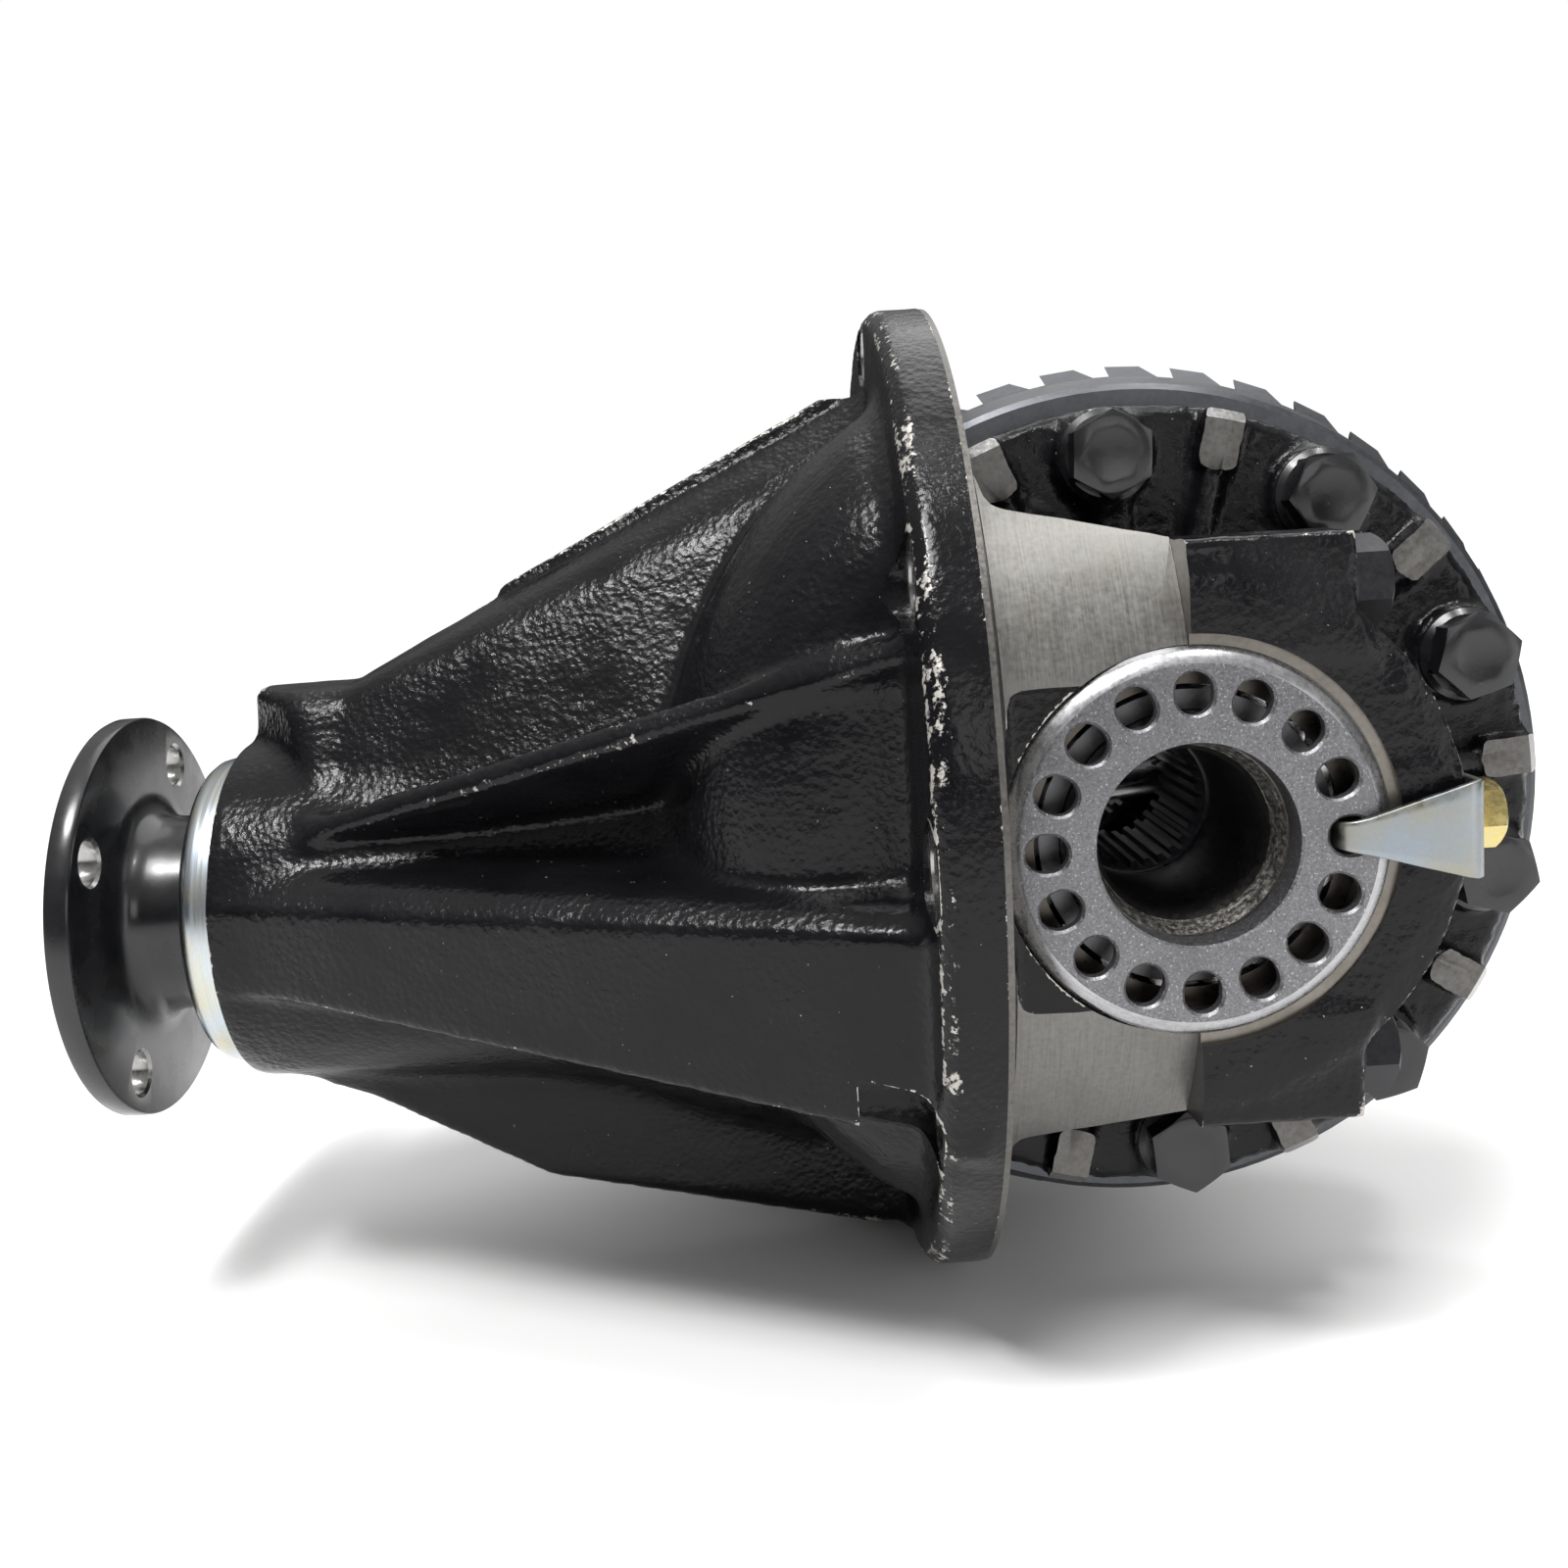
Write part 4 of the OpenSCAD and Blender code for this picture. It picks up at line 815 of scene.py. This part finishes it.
def hexagon(name, axis, lo, hi, flats, centre, chamfer=1.0, turn=0.0, crown=0.7, recess=0.0):
    """A hexagon head along an axis, hi being its outer end, with a turned chamfer and a dished top."""
    corner = flats / math.sqrt(3)
    way = 1 if hi > lo else -1
    verts, faces = [], []
    for a in (lo, hi):
        for k in range(6):
            t = math.radians(turn + 60 * k)
            u, v = corner * math.cos(t), corner * math.sin(t)
            spot = {"x": (a, u, v), "y": (u, a, v)}[axis]
            verts.append([s + c for s, c in zip(spot, centre)])
    faces = ([tuple(range(6)), tuple(range(6, 12))]
             + [(k, (k + 1) % 6, 6 + (k + 1) % 6, 6 + k) for k in range(6)])
    ob = mesh_object(name, verts, faces)
    f = flats / 2
    turned_shape = [(0, lo - way), (corner + 1, lo - way), (corner + 1, hi - way * (chamfer + crown)),
                    (f + 0.25, hi - way * 0.25), (f - 0.5, hi), (f * 0.62, hi), (f * 0.55, hi - way * recess),
                    (0, hi - way * recess)]
    tool = lathe("tool", turned_shape, axis, centre, 96)
    cut(ob, tool, operation="INTERSECT")
    return ob


def joined(name, objects, material=None):
    ob = merged(objects)
    ob.name = name
    if material:
        ob.data.materials.clear()
        ob.data.materials.append(material)
        ob.data.polygons.foreach_set("material_index", np.zeros(len(ob.data.polygons), np.int32))
    return ob


def crown_bolts():
    turns = [17, 4, 28, 11, 22, 51, 8, 35, 14, 44]
    made = []
    for d, turn in zip(BOLT_DIRS, turns):
        t = math.radians(d)
        at = (AXLE_X + BOLT_PCR * math.cos(t), 0, BOLT_PCR * math.sin(t))
        made.append(hexagon("head", "y", BOLT_FACE - 1.9, BOLT_FACE - 8.5, 17, at,
                            turn=turn, chamfer=0.3, recess=0.12, crown=0.6))
        made.append(lathe("seat", [(0, BOLT_FACE - 2.6), (9.2, BOLT_FACE - 2.3), (10.5, BOLT_FACE - 1.2),
                                   (10.6, BOLT_FACE - 0.4), (10.3, BOLT_FACE), (5.5, BOLT_FACE),
                                   (5.5, -36.2), (0, -36.2)], "y", at, 64))
    ob = joined("crown_gear_bolt_set", made, M_BOLT)
    finish(ob, "case", ["crown_gear_bolts"], 28)


def cap_bolt_pair():
    made = []
    top = AXLE_X + CAP_BOSS
    for s, turn in ((-1, 9), (1, 22)):
        at = (0, -CAP_BOLT_Y, s * CAP_BOLT_Z)
        made.append(hexagon("head", "x", top + 1.4, top + 9.4, 17, at, turn=turn, chamfer=1.1, recess=0.5))
        made.append(lathe("seat", [(0, top + 2), (8.6, top + 1.7), (10.2, top + 1.2), (10.4, top + 0.5),
                                   (10.1, top), (6, top), (6, 14), (0, 14)], "x", at, 64))
    both_sides(joined("cap_bolt_set", made, M_CAP_BOLT), "cap_bolt_set", "carrier",
               "cap_bolts", 28)


def adjusters():
    """Slotted adjuster: blasted face, turned rim with its chamfer, thread grooves on the outside."""
    y = -ADJUSTER_Y
    thread = []
    for k in range(3):
        a = y + 3.2 + k * 1.75
        thread += [(39.95, a), (39.0, a + 0.87)]
    points = ([(20.5, y + 0.8), (20.7, y + 0.3), (21.2, y), (36.0, y), (36.6, y + 0.25),
               (38.7, y + 1.3), (39.5, y + 2.3)]
              + thread
              + [(39.9, -93.1), (35.9, -93.1), (35.9, -98.2), (35.4, -98.6), (24.7, -98.6),
                 (24.2, -98.2), (23.6, -94.8), (20.5, -94.8)])
    ob = lathe("adjuster_ring", points, "y", (AXLE_X, 0, 0), 192)
    ob.data.materials.append(M_SINTER)
    slots = []
    for i in range(16):
        t = math.radians(i * 22.5)
        slots.append(slot_tool(t))
    cut(ob, merged(slots), M_SINTER)
    ob.data.materials.append(M_SINTER_RIM)
    rim = len(ob.data.materials) - 1
    for f in ob.data.polygons:
        p = f.center / MM
        if math.hypot(p.x - AXLE_X, p.z) > 36.5 and f.normal.y < 0.3:
            f.material_index = rim
    both_sides(ob, "adjuster_ring", "carrier", "adjuster", 30)


def slot_tool(t):
    """Cutter for one radial slot of the adjuster, slightly wider at the face."""
    verts, faces = [], []
    steps = 20
    levels = [(-106, 4.45), (-ADJUSTER_Y - 0.01, 4.45), (-ADJUSTER_Y + 0.55, 3.9), (-88, 3.9)]
    for a, r in levels:
        for k in range(2 * steps):
            half = 0 if k < steps else 1
            phi = math.pi * ((k % steps) / (steps - 1) - 0.5) + math.pi * half
            u = 30.6 + (0.5 if half == 0 else -0.5) + r * math.cos(phi)
            v = r * math.sin(phi)
            verts.append((AXLE_X + u * math.cos(t) - v * math.sin(t), a, u * math.sin(t) + v * math.cos(t)))
    n = 2 * steps
    faces.append(tuple(range(n)))
    faces.append(tuple(range(3 * n, 4 * n)))
    for level in range(3):
        for k in range(n):
            faces.append((level * n + k, level * n + (k + 1) % n, (level + 1) * n + (k + 1) % n,
                          (level + 1) * n + k))
    return mesh_object("slot", verts, faces)


def lock_plates():
    """Bent strip: tip in the adjuster slot, widening tongue, leg down the end of the cap."""
    path = [(69.6, -97.2, 2.5), (69.7, -99.2, 2.6), (70.0, -100.9, 2.8), (70.8, -102.2, 3.0),
            (72.2, -102.9, 3.3),
            (74.5, -103.2, 3.8), (79, -103.3, 5.1), (85, -103.35, 6.9), (90, -103.4, 8.3),
            (94.2, -103.4, 9.5),
            (96.0, -103.1, 9.9), (97.0, -102.2, 10), (97.2, -100.6, 10), (97.2, -92, 10), (97.2, -80, 10),
            (97.2, -77.6, 9)]
    thick, across = 1.75, 6
    verts, faces = [], []
    for i, (x, y, half) in enumerate(path):
        before, after = path[max(0, i - 1)], path[min(len(path) - 1, i + 1)]
        dx, dy = after[0] - before[0], after[1] - before[1]
        size = math.hypot(dx, dy)
        nx, ny = dy / size, -dx / size
        for layer in (-0.5, 0.5):
            for k in range(across + 1):
                q = 2 * k / across - 1
                verts.append((x + nx * thick * layer, y + ny * thick * layer, q * half))
    row = 2 * (across + 1)
    for i in range(len(path) - 1):
        for k in range(across):
            a = i * row + k
            faces.append((a, a + 1, a + row + 1, a + row))
            b = a + across + 1
            faces.append((b, b + row, b + row + 1, b + 1))
        for k in (0, across):
            a, b = i * row + k, i * row + k + across + 1
            faces.append((a, b, b + row, a + row))
    for i in (0, len(path) - 1):
        for k in range(across):
            a, b = i * row + k, i * row + k + across + 1
            faces.append((a, a + 1, b + 1, b))
    ob = mesh_object("lock_strip", verts, faces)
    bevel = ob.modifiers.new("edge", "BEVEL")
    bevel.width, bevel.segments = 0.35 * MM, 2
    bevel.limit_method, bevel.angle_limit = "ANGLE", math.radians(50)
    evaluate(ob)
    ob.data.materials.append(M_ZINC_PLATE)
    both_sides(ob, "lock_strip", "carrier", "lock_plate", 50)


def lock_screws():
    at = (0, -87, 0)
    head = hexagon("head", "x", 101.4, 107.4, 13, at, turn=12, chamfer=0.8, recess=0.6)
    shank = lathe("shank", [(0, 101.9), (6.6, 101.6), (7.2, 101.2), (7.2, 100.5), (4, 100.4), (4, 87),
                            (0, 87)], "x", at, 48)
    screw = joined("lock_screw", [head, shank], M_YELLOW)
    both_sides(screw, "lock_screw", "carrier", "lock_bolt", 28)
    ring = lathe("lock_ring", [(4.3, 98.2), (6.7, 98.2), (7.0, 98.5), (7.0, 100.0), (6.7, 100.3),
                               (4.3, 100.3)], "x", at, 64)
    ring.data.materials.append(M_YELLOW)
    gap = block("gap", (97, -87.4, 3), (102, -86.6, 9))
    cut(ring, gap, M_YELLOW)
    both_sides(ring, "lock_ring", "carrier", "lock_washer", 28)


def input_side():
    face = -215.1
    ob = lathe("input_companion", [
        (10.05, -199.5), (20.6, -199.5), (20.6, -211.4), (21.1, -211.9), (23.6, -211.9), (24, -212.3),
        (24, face + 0.3), (24.3, face), (51.3, face), (51.9, face + 0.25), (52.2, face + 0.9),
        (52.2, -209.9), (51.9, -209.25), (51.3, -209), (33, -209), (30, -208.6), (27.9, -207.4),
        (26.4, -205.4), (25.6, -202.6), (25.2, -198), (25, -190.7), (22, -190.5), (22, -168.8),
        (12.5, -168.8), (12.5, -199.5)], "x", (0, 0, PINION_Z), 192)
    ob.data.materials.append(M_INPUT)
    # As input_turn and input_pcr in part.scad. The photo has the holes turned 14.6 the other way.
    turn, pcr = 14.6, 42.4
    holes = []
    for i in range(4):
        t = math.radians(turn + 45 + 90 * i)
        at = (0, -pcr * math.sin(t), PINION_Z + pcr * math.cos(t))
        holes.append(lathe("hole", [(0, -230), (6.2, -230), (6.2, face), (5.5, face + 0.7), (5.5, -209.7),
                                    (6.2, -209), (6.2, -200), (0, -200)], "x", at, 48))
    cut(ob, merged(holes), M_SPOT)
    finish(ob, "pinion", ["input_flange"], 30)
    skirt = lathe("deflector_skirt", [
        (22.05, -189.5), (25.5, -190.3), (34, -189.9), (36.8, -189.5), (38.6, -188.6), (39.6, -187.2),
        (40, -185.4), (40, -181.0), (39.7, -180.7), (39.1, -180.7), (38.8, -181.0), (38.8, -185.4),
        (38.2, -187), (36.6, -188.1), (34, -188.6), (26, -188.9), (24, -188), (22.05, -184)],
        "x", (0, 0, PINION_Z), 192)
    skirt.data.materials.append(M_ZINC)
    finish(skirt, "pinion", ["dust_deflector"], 30)


bearing_caps()
case()
crown_bolts()
cap_bolt_pair()
adjusters()
lock_plates()
lock_screws()
input_side()

# ------------------------------------------------------------------ carried-over CAD nodes

CAD_LOOK = {
    "pinion_nut": M_CAP_BOLT, "pinion_washer": M_CAGE, "crown_gear": M_GEAR, "drive_pinion": M_GEAR_OIL,
    "pinion_seal": M_RUBBER, "crush_spacer": M_CAGE, "oil_slinger": M_CAGE, "pinion_shim": M_CAGE,
    "cross_shaft": M_BEARING, "cross_shaft_pin": M_BEARING, "side_washers": M_BRONZE,
    "spider_washers": M_BRONZE, "spider_gear_a": M_GEAR_OIL, "spider_gear_b": M_GEAR_OIL,
}
for end in ("near", "far"):
    CAD_LOOK.update({
        "side_cup_" + end: M_CUP, "side_cone_" + end: M_BEARING, "side_rollers_" + end: M_BEARING,
        "side_cage_" + end: M_CAGE, "side_gear_" + end: M_GEAR_OIL,
    })
for end in ("head", "tail"):
    CAD_LOOK.update({"pinion_cup_" + end: M_CUP, "pinion_cone_" + end: M_BEARING,
                     "pinion_rollers_" + end: M_BEARING, "pinion_cage_" + end: M_CAGE})
for name, look in CAD_LOOK.items():
    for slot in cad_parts[name].material_slots:
        slot.material = look

# ------------------------------------------------------------------ camera, light and floor

EYE = (-43.44, -395.51, 66.10)
YAW, PITCH, ROLL = 0.0126, 0.1196, 0.0615
FOCAL_PX, CENTRE_PX, IMAGE_PX, SENSOR = 1533.98, (803.87, 733.15), 1600.0, 36.0

ahead = Vector((math.sin(YAW) * math.cos(PITCH), math.cos(YAW) * math.cos(PITCH), -math.sin(PITCH)))
level = Vector((math.cos(YAW), -math.sin(YAW), 0))
down = ahead.cross(level)
right = math.cos(ROLL) * level + math.sin(ROLL) * down
below = -math.sin(ROLL) * level + math.cos(ROLL) * down
lens = bpy.data.cameras.new("camera")
lens.sensor_width = SENSOR
lens.lens = FOCAL_PX / IMAGE_PX * SENSOR
lens.shift_x = (IMAGE_PX / 2 - CENTRE_PX[0]) / IMAGE_PX
lens.shift_y = (CENTRE_PX[1] - IMAGE_PX / 2) / IMAGE_PX
lens.clip_start, lens.clip_end = 0.02, 60
camera = bpy.data.objects.new("camera", lens)
camera.matrix_world = (Matrix.Translation(Vector(EYE) * MM)
                       @ Matrix((right, -below, -ahead)).transposed().to_4x4())
bpy.context.scene.collection.objects.link(camera)
bpy.context.scene.camera = camera

floor = mesh_object("floor", [(-9000, -9000, 0), (9000, -9000, 0), (9000, 9000, 0), (-9000, 9000, 0)],
                    [(0, 1, 2, 3)])
floor.location = (0, 0, CAD_BOX[0][2] - 0.0008)
pale = Nodes("pale_floor", (0.90, 0.90, 0.90), rough=0.6)
pale.color(pale.mix(pale.noise(3.0, 2.0), (0.89, 0.885, 0.88), (0.92, 0.92, 0.92)))
floor.data.materials.append(pale.mat)

world = bpy.data.worlds.new("studio")
world.use_nodes = True
tree = world.node_tree
where = tree.nodes.new("ShaderNodeSeparateXYZ")
tree.links.new(tree.nodes.new("ShaderNodeTexCoord").outputs["Generated"], where.inputs["Vector"])
height = tree.nodes.new("ShaderNodeMapRange")
height.inputs["From Min"].default_value = 0.1
height.inputs["To Min"].default_value = 0.05
height.inputs["To Max"].default_value = 0.85
tree.links.new(where.outputs["Z"], height.inputs["Value"])
seen = tree.nodes.new("ShaderNodeLightPath")
level = tree.nodes.new("ShaderNodeMix")
level.inputs["B"].default_value = 1.0
tree.links.new(seen.outputs["Is Camera Ray"], level.inputs["Factor"])
tree.links.new(height.outputs["Result"], level.inputs["A"])
tree.nodes["Background"].inputs["Color"].default_value = (1.0, 1.0, 1.0, 1)
tree.links.new(level.outputs["Result"], tree.nodes["Background"].inputs["Strength"])
bpy.context.scene.world = world
bpy.context.scene.view_settings.view_transform = "Standard"


def softbox(name, at, aim, size, power, color=(1, 1, 1)):
    lamp = bpy.data.lights.new(name, "AREA")
    lamp.shape = "RECTANGLE"
    lamp.size, lamp.size_y = size
    lamp.energy = power
    lamp.color = color
    ob = bpy.data.objects.new(name, lamp)
    ob.location = Vector(at)
    ob.rotation_euler = (Vector(aim) - Vector(at)).to_track_quat("-Z", "Y").to_euler()
    bpy.context.scene.collection.objects.link(ob)


def sunlight(name, toward, strength, spread):
    lamp = bpy.data.lights.new(name, "SUN")
    lamp.energy, lamp.angle = strength, math.radians(spread)
    ob = bpy.data.objects.new(name, lamp)
    ob.rotation_euler = Vector(toward).to_track_quat("-Z", "Y").to_euler()
    bpy.context.scene.collection.objects.link(ob)


sunlight("sky_key", (0.22, 0.42, -1.0), 1.9, 20)
sunlight("sky_back", (-0.2, -0.6, -1.0), 0.95, 50)
softbox("window", (-0.50, -0.60, 1.20), (-0.05, 0, 0), (0.16, 0.20), 7)
softbox("top_right", (0.45, -0.35, 1.25), (0.05, 0, 0), (0.15, 0.15), 4)
softbox("right", (1.0, -0.9, 0.25), (0.05, 0, 0), (0.5, 0.8), 2)
softbox("fill", (0.20, -0.95, 0.30), (0.03, 0, 0), (0.3, 0.3), 0.6)
